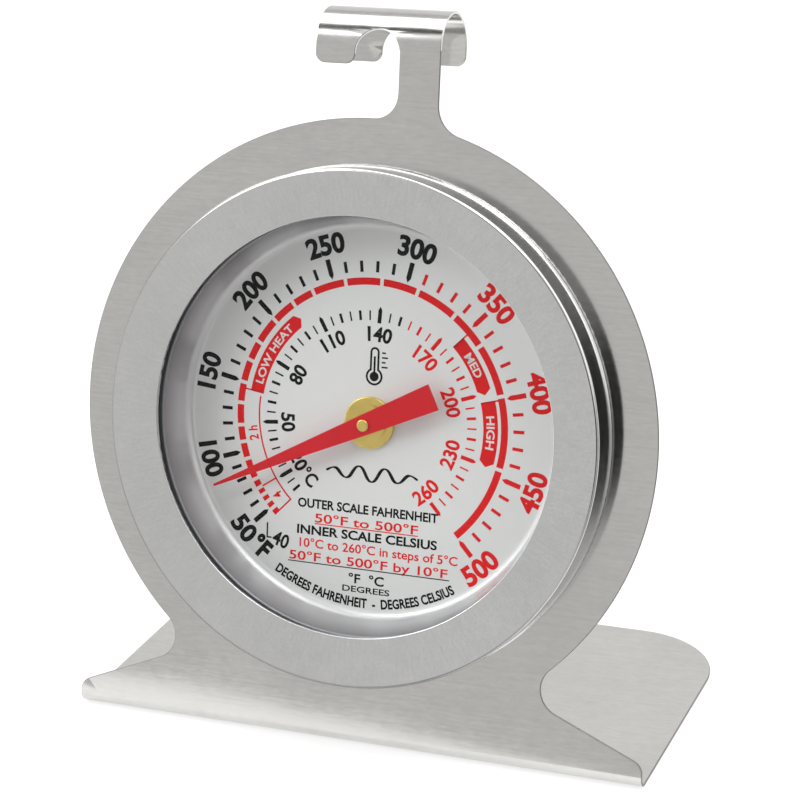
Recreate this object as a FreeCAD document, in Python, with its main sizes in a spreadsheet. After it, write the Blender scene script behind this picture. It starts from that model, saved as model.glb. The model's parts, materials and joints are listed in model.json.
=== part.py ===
# Oven thermometer: a round dial head riveted into a folded sheet stand with a rack hook.
#
# Two working frames are used, both fixed to the leaning front plate.
#   plate frame : origin on the head's axis at the plate's front face, X to the right,
#                 Z up along the plate, Y back through the plate.
#   head frame  : the same origin, Z back along the head's axis, X to the right, Y down the plate.
#                 Round pieces are turned about this Z axis.
# The whole row stands on Z = 0, +Z up, the front facing -Y, and is centred in plan.
import FreeCAD, Part
import Sketcher
import math
import os

V = FreeCAD.Vector
doc = FreeCAD.newDocument("OvenThermometer")

# ---------------------------------------------------------------- driving dimensions (mm, degrees)
CELLS = [
    # the stand
    ("sheet_thick", 0.6), ("lean", 11.41), ("centre_back", -11.66), ("centre_up", 40.4838),
    ("ring_rad", 38.0), ("case_hole_rad", 27.8),
    ("foot_half", 38.3), ("corner_drop", 41.3), ("foot_length", 43.0), ("foot_corner_rad", 12.0),
    ("bend_outer", 1.5), ("fold_top", 39.3),
    ("wing_tip_drop", 38.04), ("wing_root_half", 21.0), ("wing_root_drop", 30.774),
    ("wing_notch_rad", 3.3), ("wing_tip_rad", 1.8),
    ("stem_left", 3.0), ("stem_right", 8.3), ("stem_root", 35.0),
    ("stem_fillet_left", 3.0), ("stem_fillet_right", 3.8),
    ("hook_left", 8.0), ("hook_outer", 4.7), ("hook_centre_up", 46.55), ("hook_lip", 44.4),
    ("hook_corner", 1.25), ("wire_left", 2.8), ("wire_rad", 2.9), ("wire_centre", 0.1), ("wire_up", 45.8),
    # the case rivets
    ("rivet_circle", 29.7), ("rivet_hole", 0.8), ("rivet_shank", 0.75), ("rivet_head", 1.2),
    ("rivet_head_thick", 0.55), ("rivet_tail", 1.25), ("rivet_tail_thick", 0.5),
    # the case cup: a stepped drawn shell, shoulder on the plate, belly through its hole
    ("case_thick", 0.5), ("case_front_rad", 31.9), ("case_front", 4.2), ("case_belly_rad", 27.6),
    ("case_back", 9.5), ("case_bearing_hole", 1.85), ("case_edge", 1.5),
    ("vent_rad", 1.1), ("vent_circle", 17.0), ("post_hole", 0.65),
    # the bezel
    ("bezel_open", 26.0), ("bezel_rad", 32.25), ("bezel_lip", 4.67), ("bezel_brow", 5.45), ("bezel_thick", 0.3),
    ("bezel_gap", 0.05), ("bead_rad", 32.8), ("bead_top", 0.95), ("bead_high", 0.7), ("bead_low", 0.25),
    ("bezel_edge", 0.45),
    # the glass and the spacer
    ("glass_rad", 31.3), ("glass_front", 4.2), ("glass_thick", 1.8),
    ("spacer_in", 30.95), ("spacer_out", 31.34), ("spacer_play", 0.02),
    # the dial pan
    ("dial_depth", 2.73), ("dial_thick", 0.45), ("dial_flat", 25.1), ("dial_throat", 26.2),
    ("dial_hole", 2.0), ("dial_cove", 1.4),
    # the bush, its nut, and the rear bearing
    ("bush_rad", 3.3), ("bush_rise", 0.85), ("bush_step_rad", 2.35), ("bush_step", 0.3), ("bush_shank", 1.95),
    ("bush_well_rad", 1.3), ("bush_well", 0.45), ("bush_end", 4.3), ("journal", 0.75),
    ("nut_flats", 6.0), ("nut_thick", 0.85),
    ("bearing_flange", 2.8), ("bearing_flange_thick", 0.55), ("bearing_shank", 1.8), ("bearing_end", 10.3),
    # the pointer and its staff
    ("staff_rad", 0.7), ("staff_front", 1.0), ("staff_end", 10.1),
    ("pointer_face", 0.3), ("pointer_thick", 0.3), ("pointer_tip", 22.4), ("pointer_tip_half", 0.15),
    ("pointer_mid_half", 1.28), ("pointer_tail", 10.1), ("pointer_tail_half", 1.72), ("pointer_bore", 0.45),
    ("pointer_angle", -116.0),
    ("pin_head", 0.78), ("pin_head_thick", 0.3), ("pin_shank", 0.42), ("pin_end", 0.95),
    ("boss_rad", 1.15), ("boss_end", 1.8), ("press_gap", 0.02),
    # the bimetal coil with its arbor and anchor
    ("arbor_rad", 2.0), ("arbor_front", 4.5), ("arbor_end", 8.25),
    ("coil_in", 2.28), ("coil_out", 11.4), ("coil_turns", 6.0), ("coil_thick", 0.35),
    ("coil_front", 4.75), ("coil_width", 3.2), ("coil_end_angle", 20.0),
    ("post_rad", 1.1), ("post_circle", 12.1), ("post_front", 4.45), ("post_slot", 0.55), ("post_tail_head", 1.05),
    ("post_tail_thick", 0.4),
]

sheet = doc.addObject("Spreadsheet::Sheet", "Dims")
sheet.Label = "Dims"
for row, (name, value) in enumerate(CELLS, start=1):
    sheet.set("A%d" % row, name)
    sheet.set("B%d" % row, repr(value))
    sheet.setAlias("B%d" % row, name)
doc.recompute()


class Num:
    """A number that keeps the sheet expression it came from."""

    def __init__(self, value, text):
        self.v = float(value)
        self.s = text

    @staticmethod
    def of(other):
        return other if isinstance(other, Num) else Num(other, repr(float(other)))

    def __add__(self, o):
        o = Num.of(o)
        return Num(self.v + o.v, "(%s + %s)" % (self.s, o.s))

    def __sub__(self, o):
        o = Num.of(o)
        return Num(self.v - o.v, "(%s - %s)" % (self.s, o.s))

    def __mul__(self, o):
        o = Num.of(o)
        return Num(self.v * o.v, "(%s * %s)" % (self.s, o.s))

    def __truediv__(self, o):
        o = Num.of(o)
        return Num(self.v / o.v, "(%s / %s)" % (self.s, o.s))

    def __neg__(self):
        return Num(-self.v, "(-1 * %s)" % self.s)

    __radd__ = __add__

    def __rmul__(self, o):
        return Num.of(o) * self

    def __rsub__(self, o):
        return Num.of(o) - self


def cosine(a):
    return Num(math.cos(math.radians(a.v)), "cos(%s)" % a.s)


def sine(a):
    return Num(math.sin(math.radians(a.v)), "sin(%s)" % a.s)


D = {name: Num(getattr(sheet, name), "Dims.%s" % name) for name, _ in CELLS}
ZERO = Num(0.0, "0")

parts = []


def new_body(label, head=True, spin=None):
    """One sub-part. head=True puts it in the head frame, otherwise in the plate frame."""
    body = doc.addObject("PartDesign::Body", label)
    body.Label = label
    tilt = FreeCAD.Rotation(V(1, 0, 0), -(90.0 if head else 0.0) - D["lean"].v)
    if spin is not None:
        tilt = tilt.multiply(FreeCAD.Rotation(V(0, 0, 1), spin.v))
    body.Placement = FreeCAD.Placement(V(0, D["centre_back"].v, D["centre_up"].v), tilt)
    body.setExpression("Placement.Base.y", D["centre_back"].s)
    body.setExpression("Placement.Base.z", D["centre_up"].s)
    parts.append(body)
    return body


def plane(body, role):
    for f in body.Origin.OriginFeatures:
        if f.Role == role:
            return f
    raise RuntimeError("no origin plane " + role)


def new_sketch(body, name, role, offset=None):
    sk = body.newObject("Sketcher::SketchObject", name)
    sk.AttachmentSupport = [(plane(body, role), "")]
    sk.MapMode = "FlatFace"
    if offset is not None:
        sk.AttachmentOffset = FreeCAD.Placement(V(0, 0, offset.v), FreeCAD.Rotation())
        sk.setExpression("AttachmentOffset.Base.z", offset.s)
    return sk


def bind(sk, index, number):
    sk.setExpression("Constraints[%d]" % index, number.s)


def fix_point(sk, geo, pos, x, y):
    """Ties one point of a sketch to the origin by its two coordinates."""
    for kind, n in (("DistanceX", x), ("DistanceY", y)):
        n = Num.of(n)
        if abs(n.v) < 1e-9 and n.s == "0":
            other = "PointOnObject"
            sk.addConstraint(Sketcher.Constraint(other, geo, pos, -2 if kind == "DistanceX" else -1))
        elif n.v >= 0:
            i = sk.addConstraint(Sketcher.Constraint(kind, -1, 1, geo, pos, n.v))
            bind(sk, i, n)
        else:
            i = sk.addConstraint(Sketcher.Constraint(kind, geo, pos, -1, 1, -n.v))
            bind(sk, i, -n)


def polygon(sk, points):
    """A closed outline whose every corner is set by two sheet expressions."""
    n = len(points)
    pts = [V(Num.of(x).v, Num.of(y).v, 0) for x, y in points]
    ids = [sk.addGeometry(Part.LineSegment(pts[i], pts[(i + 1) % n]), False) for i in range(n)]
    for i in range(n):
        sk.addConstraint(Sketcher.Constraint("Coincident", ids[i], 2, ids[(i + 1) % n], 1))
    for i, (x, y) in enumerate(points):
        fix_point(sk, ids[i], 1, Num.of(x), Num.of(y))
    return ids


def circle(sk, x, y, radius):
    g = sk.addGeometry(Part.Circle(V(Num.of(x).v, Num.of(y).v, 0), V(0, 0, 1), radius.v), False)
    i = sk.addConstraint(Sketcher.Constraint("Radius", g, radius.v))
    bind(sk, i, radius)
    fix_point(sk, g, 3, Num.of(x), Num.of(y))
    return g


def pad(body, name, sk, length, reverse=False, middle=False):
    f = body.newObject("PartDesign::Pad", name)
    f.Profile = sk
    f.Length = length.v
    f.setExpression("Length", length.s)
    f.Reversed = reverse
    if middle:
        f.Midplane = True
    sk.Visibility = False
    doc.recompute()
    return f


def pocket(body, name, sk, depth, reverse=False, middle=False):
    before = body.Shape.Volume
    f = body.newObject("PartDesign::Pocket", name)
    f.Profile = sk
    f.Length = depth.v
    f.setExpression("Length", depth.s)
    f.Reversed = reverse
    if middle:
        f.Midplane = True
    doc.recompute()
    if body.Shape.Volume > before - 1e-4:
        raise RuntimeError("%s in %s cuts nothing" % (name, body.Label))
    return f


def revolve(body, name, points, role="XZ_Plane"):
    """Turns a closed (radius, height) outline about the body's Z axis."""
    sk = new_sketch(body, name + "_profile", role)
    polygon(sk, points)
    f = body.newObject("PartDesign::Revolution", name)
    f.Profile = sk
    f.ReferenceAxis = (sk, ["V_Axis"])
    f.Angle = 360.0
    doc.recompute()
    return f


def edges_where(shape, test):
    found = []
    for i, e in enumerate(shape.Edges, start=1):
        if test(e):
            found.append("Edge%d" % i)
    return found


def dress(body, kind, name, size, test, expect):
    """Fillet or Chamfer on the edges that the test picks."""
    base = body.Tip
    names = edges_where(base.Shape, test)
    if len(names) != expect:
        raise RuntimeError("%s in %s picked %d edges, not %d" % (name, body.Label, len(names), expect))
    f = body.newObject("PartDesign::" + kind, name)
    f.Base = (base, names)
    prop = "Radius" if kind == "Fillet" else "Size"
    setattr(f, prop, size.v)
    f.setExpression(prop, size.s)
    doc.recompute()
    if "Invalid" in f.State or f.Shape.isNull():
        raise RuntimeError("%s in %s did not compute" % (name, body.Label))
    return f


def ring_edge(radius, height, tol=0.02):
    """Picks a circular edge of the given radius at the given height on Z."""
    def test(e):
        c = e.Curve
        return isinstance(c, Part.Circle) and abs(c.Radius - radius) < tol and abs(c.Center.z - height) < tol
    return test


def straight_edge(axis, a, b, tol=0.05):
    """Picks a straight edge along one axis (0 X, 1 Y, 2 Z) at the given two other coordinates."""
    others = [i for i in range(3) if i != axis]

    def test(e):
        if not isinstance(e.Curve, (Part.Line, Part.LineSegment)):
            return False
        p, q = e.Vertexes[0].Point, e.Vertexes[-1].Point
        d = q - p
        if d.Length < 1e-6 or abs(abs(d[axis]) / d.Length - 1) > 1e-6:
            return False
        return all(abs(p[o] - w) < tol for o, w in zip(others, (a, b)))
    return test


# ================================================================ the folded stand
stand = new_body("stand_plate", head=False)
t = D["sheet_thick"]

sk = new_sketch(stand, "ring_outline", "XZ_Plane")
circle(sk, ZERO, ZERO, D["ring_rad"])
pad(stand, "ring", sk, t, reverse=True)

sk = new_sketch(stand, "wing_outline", "XZ_Plane")
polygon(sk, [(-D["foot_half"], -D["fold_top"]), (D["foot_half"], -D["fold_top"]),
             (D["foot_half"], -D["wing_tip_drop"]), (D["wing_root_half"], -D["wing_root_drop"]),
             (-D["wing_root_half"], -D["wing_root_drop"]), (-D["foot_half"], -D["wing_tip_drop"])])
pad(stand, "wings", sk, t, reverse=True)

sk = new_sketch(stand, "stem_outline", "XZ_Plane")
polygon(sk, [(D["stem_left"], D["stem_root"]), (D["stem_right"], D["stem_root"]),
             (D["stem_right"], D["hook_centre_up"]), (D["stem_left"], D["hook_centre_up"])])
pad(stand, "stem", sk, t, reverse=True)

# notch fillets between the ring and the wings, wing tips, and the stem's two root fillets
rr, zr = D["ring_rad"].v, D["wing_root_drop"].v
slope = (D["wing_tip_drop"].v - zr) / (D["foot_half"].v - D["wing_root_half"].v)
qa, qb = 1 + slope * slope, 2 * slope * (zr - slope * D["wing_root_half"].v)
qc = (zr - slope * D["wing_root_half"].v) ** 2 - rr * rr
notch_x = (-qb + math.sqrt(qb * qb - 4 * qa * qc)) / (2 * qa)
notch_z = -(zr + slope * (notch_x - D["wing_root_half"].v))
near = lambda x, z: (lambda e: straight_edge(1, x, z, 0.08)(e))
dress(stand, "Fillet", "wing_notches", D["wing_notch_rad"],
      lambda e: near(notch_x, notch_z)(e) or near(-notch_x, notch_z)(e), 2)
dress(stand, "Fillet", "wing_tips", D["wing_tip_rad"],
      lambda e: near(D["foot_half"].v, -D["wing_tip_drop"].v)(e) or near(-D["foot_half"].v, -D["wing_tip_drop"].v)(e), 2)
zl = math.sqrt(rr ** 2 - D["stem_left"].v ** 2)
zq = math.sqrt(rr ** 2 - D["stem_right"].v ** 2)
dress(stand, "Fillet", "stem_root_left", D["stem_fillet_left"], near(D["stem_left"].v, zl), 1)
dress(stand, "Fillet", "stem_root_right", D["stem_fillet_right"], near(D["stem_right"].v, zq), 1)

# the hook: the top of the sheet rolled back over a wire into an upside-down U
sk = new_sketch(stand, "hook_profile", "YZ_Plane", offset=-D["hook_left"])
cy, cz, ro = D["hook_outer"], D["hook_centre_up"], D["hook_outer"]
ri = ro - t
c0 = V(cy.v, cz.v, 0)
g_out = sk.addGeometry(Part.ArcOfCircle(Part.Circle(c0, V(0, 0, 1), ro.v), 0, math.pi), False)
g_in = sk.addGeometry(Part.ArcOfCircle(Part.Circle(c0, V(0, 0, 1), ri.v), 0, math.pi), False)


def seg(a, b):
    return sk.addGeometry(Part.LineSegment(V(a[0], a[1], 0), V(b[0], b[1], 0)), False)


lip = D["hook_lip"]
far = cy + ro
g1 = seg((0, cz.v), (0, lip.v))                      # front leaf, outer face
g2 = seg((0, lip.v), (t.v, lip.v))                   # front leaf, end
g3 = seg((t.v, lip.v), (t.v, cz.v))                  # front leaf, inner face
g4 = seg((far.v - t.v, cz.v), (far.v - t.v, lip.v))  # back leaf, inner face
g5 = seg((far.v - t.v, lip.v), (far.v, lip.v))       # back leaf, end
g6 = seg((far.v, lip.v), (far.v, cz.v))              # back leaf, outer face
for a, pa, b, pb in ((g_out, 2, g1, 1), (g1, 2, g2, 1), (g2, 2, g3, 1), (g3, 2, g_in, 2),
                     (g_in, 1, g4, 1), (g4, 2, g5, 1), (g5, 2, g6, 1), (g6, 2, g_out, 1)):
    sk.addConstraint(Sketcher.Constraint("Coincident", a, pa, b, pb))
sk.addConstraint(Sketcher.Constraint("Coincident", g_out, 3, g_in, 3))
fix_point(sk, g_out, 3, cy, cz)
bind(sk, sk.addConstraint(Sketcher.Constraint("Radius", g_out, ro.v)), ro)
bind(sk, sk.addConstraint(Sketcher.Constraint("Radius", g_in, ri.v)), ri)
for g in (g1, g3, g4, g6):
    sk.addConstraint(Sketcher.Constraint("Vertical", g))
for g in (g2, g5):
    sk.addConstraint(Sketcher.Constraint("Horizontal", g))
bind(sk, sk.addConstraint(Sketcher.Constraint("DistanceY", -1, 1, g2, 1, lip.v)), lip)
bind(sk, sk.addConstraint(Sketcher.Constraint("DistanceY", -1, 1, g5, 1, lip.v)), lip)
for g, p in ((g1, 1), (g4, 1)):
    bind(sk, sk.addConstraint(Sketcher.Constraint("DistanceY", -1, 1, g, p, cz.v)), cz)
pad(stand, "hook", sk, D["hook_left"] + D["stem_right"])

# the wire notch, open below, through both leaves
sk = new_sketch(stand, "wire_notch_outline", "XZ_Plane")
wl, wr = -D["wire_left"], D["stem_left"]
wu, wc, wrad = D["wire_up"], D["wire_centre"], D["wire_rad"]
low = lip - 1.5
arc = sk.addGeometry(Part.ArcOfCircle(Part.Circle(V(wc.v, wu.v, 0), V(0, 0, 1), wrad.v), 0, math.pi), False)
a1 = sk.addGeometry(Part.LineSegment(V(wl.v, wu.v, 0), V(wl.v, low.v, 0)), False)
a2 = sk.addGeometry(Part.LineSegment(V(wl.v, low.v, 0), V(wr.v, low.v, 0)), False)
a3 = sk.addGeometry(Part.LineSegment(V(wr.v, low.v, 0), V(wr.v, wu.v, 0)), False)
for a, pa, b, pb in ((arc, 2, a1, 1), (a1, 2, a2, 1), (a2, 2, a3, 1), (a3, 2, arc, 1)):
    sk.addConstraint(Sketcher.Constraint("Coincident", a, pa, b, pb))
for g in (a1, a3):
    sk.addConstraint(Sketcher.Constraint("Vertical", g))
sk.addConstraint(Sketcher.Constraint("Horizontal", a2))
fix_point(sk, arc, 3, wc, wu)
bind(sk, sk.addConstraint(Sketcher.Constraint("Radius", arc, wrad.v)), wrad)
bind(sk, sk.addConstraint(Sketcher.Constraint("DistanceY", -1, 1, a2, 1, low.v)), low)
bind(sk, sk.addConstraint(Sketcher.Constraint("DistanceY", -1, 1, a1, 1, wu.v)), wu)
bind(sk, sk.addConstraint(Sketcher.Constraint("DistanceY", -1, 1, arc, 1, wu.v)), wu)
pocket(stand, "wire_notch", sk, 4 * (cy + ro), middle=True)

# rounded lips of the leaves
hx, hl = D["hook_left"].v, lip.v
dress(stand, "Fillet", "hook_lips", D["hook_corner"],
      lambda e: any(straight_edge(1, x, hl)(e) for x in (-hx, -D["wire_left"].v, D["stem_left"].v, D["stem_right"].v)), 6)

# the foot: the lower edge folded back flat on the floor
sk = new_sketch(stand, "foot_profile", "YZ_Plane", offset=-D["foot_half"])
co, si = cosine(D["lean"]), sine(D["lean"])
hv, lf = D["corner_drop"], D["foot_length"]
run = t * (1 + si) / co
polygon(sk, [(ZERO, -D["fold_top"]), (ZERO, -hv), (lf * co, lf * si - hv),
             (lf * co - t * si, lf * si + t * co - hv),
             (t, run * si + t * co - hv), (t, -D["fold_top"])])
pad(stand, "foot", sk, 2 * D["foot_half"])

inner_z = run.v * si.v + t.v * co.v - hv.v
dress(stand, "Fillet", "bend_outside", D["bend_outer"], straight_edge(0, 0.0, -hv.v), 1)
dress(stand, "Fillet", "bend_inside", D["bend_outer"] - t, straight_edge(0, t.v, inner_z), 1)


def foot_back_corner(e):
    if not isinstance(e.Curve, (Part.Line, Part.LineSegment)):
        return False
    p, q = e.Vertexes[0].Point, e.Vertexes[-1].Point
    if abs((q - p).Length - t.v) > 1e-3 or abs(abs(p.x) - D["foot_half"].v) > 1e-3:
        return False
    return p.y > lf.v * co.v - 1.0 and abs(p.x - q.x) < 1e-6


dress(stand, "Fillet", "foot_corners", D["foot_corner_rad"], foot_back_corner, 2)

sk = new_sketch(stand, "case_hole_outline", "XZ_Plane")
circle(sk, ZERO, ZERO, D["case_hole_rad"])
pocket(stand, "case_hole", sk, 4 * t, middle=True)

sk = new_sketch(stand, "rivet_hole_outline", "XZ_Plane")
circle(sk, ZERO, D["rivet_circle"], D["rivet_hole"])
first_hole = pocket(stand, "rivet_hole", sk, 4 * t, middle=True)
before = stand.Shape.Volume
rivet_holes = stand.newObject("PartDesign::PolarPattern", "rivet_holes")
rivet_holes.Originals = [first_hole]
rivet_holes.Axis = (sk, ["N_Axis"])
rivet_holes.Angle = 360.0
rivet_holes.Occurrences = 3
stand.Tip = rivet_holes
doc.recompute()
if stand.Shape.Volume > before - 1e-3:
    raise RuntimeError("the rivet hole pattern cuts nothing")

# ================================================================ the case cup
case = new_body("case_cup")
ct = D["case_thick"]
revolve(case, "shell", [
    (D["case_bearing_hole"], D["case_back"] - ct), (D["case_belly_rad"] - ct, D["case_back"] - ct),
    (D["case_belly_rad"] - ct, -ct), (D["case_front_rad"] - ct, -ct),
    (D["case_front_rad"] - ct, -D["case_front"]), (D["case_front_rad"], -D["case_front"]),
    (D["case_front_rad"], ZERO), (D["case_belly_rad"], ZERO),
    (D["case_belly_rad"], D["case_back"]), (D["case_bearing_hole"], D["case_back"])])
dress(case, "Fillet", "back_edge", D["case_edge"], ring_edge(D["case_belly_rad"].v, D["case_back"].v), 1)
dress(case, "Fillet", "back_edge_inside", D["case_edge"] - ct,
      ring_edge(D["case_belly_rad"].v - ct.v, D["case_back"].v - ct.v), 1)
# vent holes in the back, so that oven air reaches the coil
sk = new_sketch(case, "vent_outline", "XY_Plane", offset=D["case_back"])
circle(sk, D["vent_circle"], ZERO, D["vent_rad"])
vent = pocket(case, "vent", sk, 3 * ct, middle=True)
before = case.Shape.Volume
vents = case.newObject("PartDesign::PolarPattern", "vents")
vents.Originals = [vent]
vents.Axis = (sk, ["N_Axis"])
vents.Angle = 360.0
vents.Occurrences = 8
case.Tip = vents
doc.recompute()
if case.Shape.Volume > before - 1e-3:
    raise RuntimeError("the vent pattern cuts nothing")
# one hole for the coil's anchor post, three for the rivets in the shoulder
pa = D["coil_end_angle"]
post_x, post_y = D["post_circle"] * cosine(pa), D["post_circle"] * sine(pa)
sk = new_sketch(case, "post_hole_outline", "XY_Plane", offset=D["case_back"])
circle(sk, post_x, post_y, D["post_hole"])
pocket(case, "post_hole_cut", sk, 3 * ct, middle=True)
sk = new_sketch(case, "shoulder_hole_outline", "XY_Plane")
circle(sk, ZERO, -D["rivet_circle"], D["rivet_hole"])
sh = pocket(case, "shoulder_hole", sk, 3 * ct, middle=True)
before = case.Shape.Volume
shoulder_holes = case.newObject("PartDesign::PolarPattern", "shoulder_holes")
shoulder_holes.Originals = [sh]
shoulder_holes.Axis = (sk, ["N_Axis"])
shoulder_holes.Angle = 360.0
shoulder_holes.Occurrences = 3
case.Tip = shoulder_holes
doc.recompute()
if case.Shape.Volume > before - 1e-3:
    raise RuntimeError("the shoulder hole pattern cuts nothing")

# ================================================================ the bezel
bezel = new_body("bezel_ring")
bt = D["bezel_thick"]
revolve(bezel, "shell", [
    (D["bezel_open"], -D["bezel_lip"]), (D["bezel_rad"], -D["bezel_brow"]), (D["bezel_rad"], -D["bead_top"]),
    (D["bead_rad"], -D["bead_high"]), (D["bead_rad"], -D["bead_low"]), (D["bezel_rad"] + 0.15, -D["bezel_gap"]),
    (D["bezel_rad"] - bt, -D["bezel_gap"]), (D["bezel_rad"] - bt, bt - D["bezel_brow"]),
    (D["bezel_open"], bt - D["bezel_lip"])])
dress(bezel, "Fillet", "brow", D["bezel_edge"], ring_edge(D["bezel_rad"].v, -D["bezel_brow"].v), 1)
dress(bezel, "Fillet", "brow_inside", Num(0.15, "0.15"),
      ring_edge(D["bezel_rad"].v - bt.v, bt.v - D["bezel_brow"].v), 1)

# ================================================================ the glass, the spacer and the dial pan
glass = new_body("lens_glass")
revolve(glass, "disc", [(ZERO, -D["glass_front"]), (D["glass_rad"], -D["glass_front"]),
                        (D["glass_rad"], D["glass_thick"] - D["glass_front"]), (ZERO, D["glass_thick"] - D["glass_front"])])
dress(glass, "Chamfer", "ground_edge", Num(0.2, "0.2"), ring_edge(D["glass_rad"].v, -D["glass_front"].v), 1)

gb = D["glass_thick"] - D["glass_front"]          # back face of the glass
play = D["spacer_play"]
dial = new_body("dial_plate")
dt, dd = D["dial_thick"], D["dial_depth"]
revolve(dial, "pan", [
    (D["dial_hole"], dd), (D["dial_flat"], dd), (D["dial_throat"], gb + play), (D["glass_rad"], gb + play),
    (D["glass_rad"], gb + play + dt), (D["dial_throat"] + dt, gb + play + dt), (D["dial_flat"] + dt, dd + dt),
    (D["dial_hole"], dd + dt)])
dress(dial, "Fillet", "cove", D["dial_cove"], ring_edge(D["dial_flat"].v, dd.v), 1)
dress(dial, "Fillet", "cove_outside", D["dial_cove"] + dt, ring_edge(D["dial_flat"].v + dt.v, (dd + dt).v), 1)

spacer = new_body("spacer_ring")
revolve(spacer, "band", [
    (D["spacer_in"], gb + dt + 2 * play), (D["spacer_out"], gb + dt + 2 * play),
    (D["spacer_out"], -ct - play), (D["spacer_in"], -ct - play)])

# ================================================================ the brass bush in the dial, and its nut
bush = new_body("dial_bush")
revolve(bush, "turned", [
    (D["bush_well_rad"], dd - D["bush_rise"]), (D["bush_step_rad"], dd - D["bush_rise"]),
    (D["bush_step_rad"], dd - D["bush_rise"] + D["bush_step"]), (D["bush_rad"], dd - D["bush_rise"] + D["bush_step"]),
    (D["bush_rad"], dd), (D["bush_shank"], dd), (D["bush_shank"], D["bush_end"]), (D["journal"], D["bush_end"]),
    (D["journal"], dd - D["bush_rise"] + D["bush_well"]), (D["bush_well_rad"], dd - D["bush_rise"] + D["bush_well"])])
dress(bush, "Fillet", "flange_round", Num(0.15, "0.15"),
      ring_edge(D["bush_rad"].v, (dd - D["bush_rise"] + D["bush_step"]).v), 1)

nut = new_body("bush_nut")
sk = new_sketch(nut, "hexagon", "XY_Plane", offset=dd + dt)
af = D["nut_flats"] / 2
corner = af / 0.8660254037844386
polygon(sk, [(corner, ZERO), (corner * 0.5, af), (corner * -0.5, af), (-corner, ZERO), (corner * -0.5, -af), (corner * 0.5, -af)])
pad(nut, "hex", sk, D["nut_thick"])
sk = new_sketch(nut, "thread_hole", "XY_Plane", offset=dd + dt)
circle(sk, ZERO, ZERO, D["bush_shank"] + D["press_gap"])
pocket(nut, "bore", sk, 4 * D["nut_thick"], middle=True)

# ================================================================ the moving set: pointer, pin, boss, staff, arbor
spin = D["pointer_angle"] - 90
pointer = new_body("pointer", spin=spin)
sk = new_sketch(pointer, "needle_outline", "XY_Plane", offset=D["pointer_face"])
polygon(sk, [(D["pointer_tip"], -D["pointer_tip_half"]), (D["pointer_tip"], D["pointer_tip_half"]),
             (ZERO, D["pointer_mid_half"]), (-D["pointer_tail"], D["pointer_tail_half"]),
             (-D["pointer_tail"], -D["pointer_tail_half"]), (ZERO, -D["pointer_mid_half"])])
pad(pointer, "needle", sk, D["pointer_thick"])
sk = new_sketch(pointer, "needle_hole_outline", "XY_Plane", offset=D["pointer_face"])
circle(sk, ZERO, ZERO, D["pointer_bore"])
pocket(pointer, "needle_hole", sk, 4 * D["pointer_thick"], middle=True)

pb = D["pointer_face"] + D["pointer_thick"]
pin = new_body("pointer_rivet")
revolve(pin, "turned", [
    (ZERO, D["pointer_face"] - D["pin_head_thick"]), (D["pin_head"], D["pointer_face"] - D["pin_head_thick"]),
    (D["pin_head"], D["pointer_face"]), (D["pin_shank"], D["pointer_face"]),
    (D["pin_shank"], D["pin_end"]), (ZERO, D["pin_end"])])
dress(pin, "Fillet", "head_round", Num(0.18, "0.18"),
      ring_edge(D["pin_head"].v, (D["pointer_face"] - D["pin_head_thick"]).v), 1)

boss = new_body("pointer_hub")
pg = D["press_gap"]
revolve(boss, "turned", [
    (D["pin_shank"] + pg, pb), (D["boss_rad"], pb), (D["boss_rad"], D["boss_end"]),
    (D["staff_rad"] + pg, D["boss_end"]), (D["staff_rad"] + pg, D["staff_front"]), (D["pin_shank"] + pg, D["staff_front"])])

staff = new_body("pointer_staff")
revolve(staff, "turned", [(ZERO, D["staff_front"]), (D["staff_rad"], D["staff_front"]),
                          (D["staff_rad"], D["staff_end"]), (ZERO, D["staff_end"])])
dress(staff, "Chamfer", "end_chamfer", Num(0.15, "0.15"), ring_edge(D["staff_rad"].v, D["staff_end"].v), 1)

arbor = new_body("coil_arbor")
revolve(arbor, "sleeve", [
    (D["staff_rad"] + pg, D["arbor_front"]), (D["arbor_rad"], D["arbor_front"]),
    (D["arbor_rad"], D["arbor_end"]), (D["staff_rad"] + pg, D["arbor_end"])])
dress(arbor, "Chamfer", "arbor_chamfer", Num(0.2, "0.2"), ring_edge(D["arbor_rad"].v, D["arbor_front"].v), 1)

bearing = new_body("rear_bearing")
cb = D["case_back"] - ct
revolve(bearing, "turned", [
    (D["journal"], cb - D["bearing_flange_thick"]), (D["bearing_flange"], cb - D["bearing_flange_thick"]),
    (D["bearing_flange"], cb), (D["bearing_shank"], cb), (D["bearing_shank"], D["bearing_end"]),
    (D["journal"], D["bearing_end"])])
dress(bearing, "Chamfer", "boss_chamfer", Num(0.2, "0.2"), ring_edge(D["bearing_shank"].v, D["bearing_end"].v), 1)

# ================================================================ the anchor post and the rivets
post = new_body("coil_anchor_post")
sk = new_sketch(post, "post_outline", "XY_Plane", offset=D["post_front"])
circle(sk, post_x, post_y, D["post_rad"])
pad(post, "post_body", sk, cb - D["post_front"])
sk = new_sketch(post, "tail_outline", "XY_Plane", offset=D["post_front"])
circle(sk, post_x, post_y, D["post_hole"] - 0.03)
pad(post, "tail", sk, D["case_back"] - D["post_front"] + 0.05)
sk = new_sketch(post, "tail_head_outline", "XY_Plane", offset=D["case_back"])
circle(sk, post_x, post_y, D["post_tail_head"])
pad(post, "tail_head", sk, D["post_tail_thick"])
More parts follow.
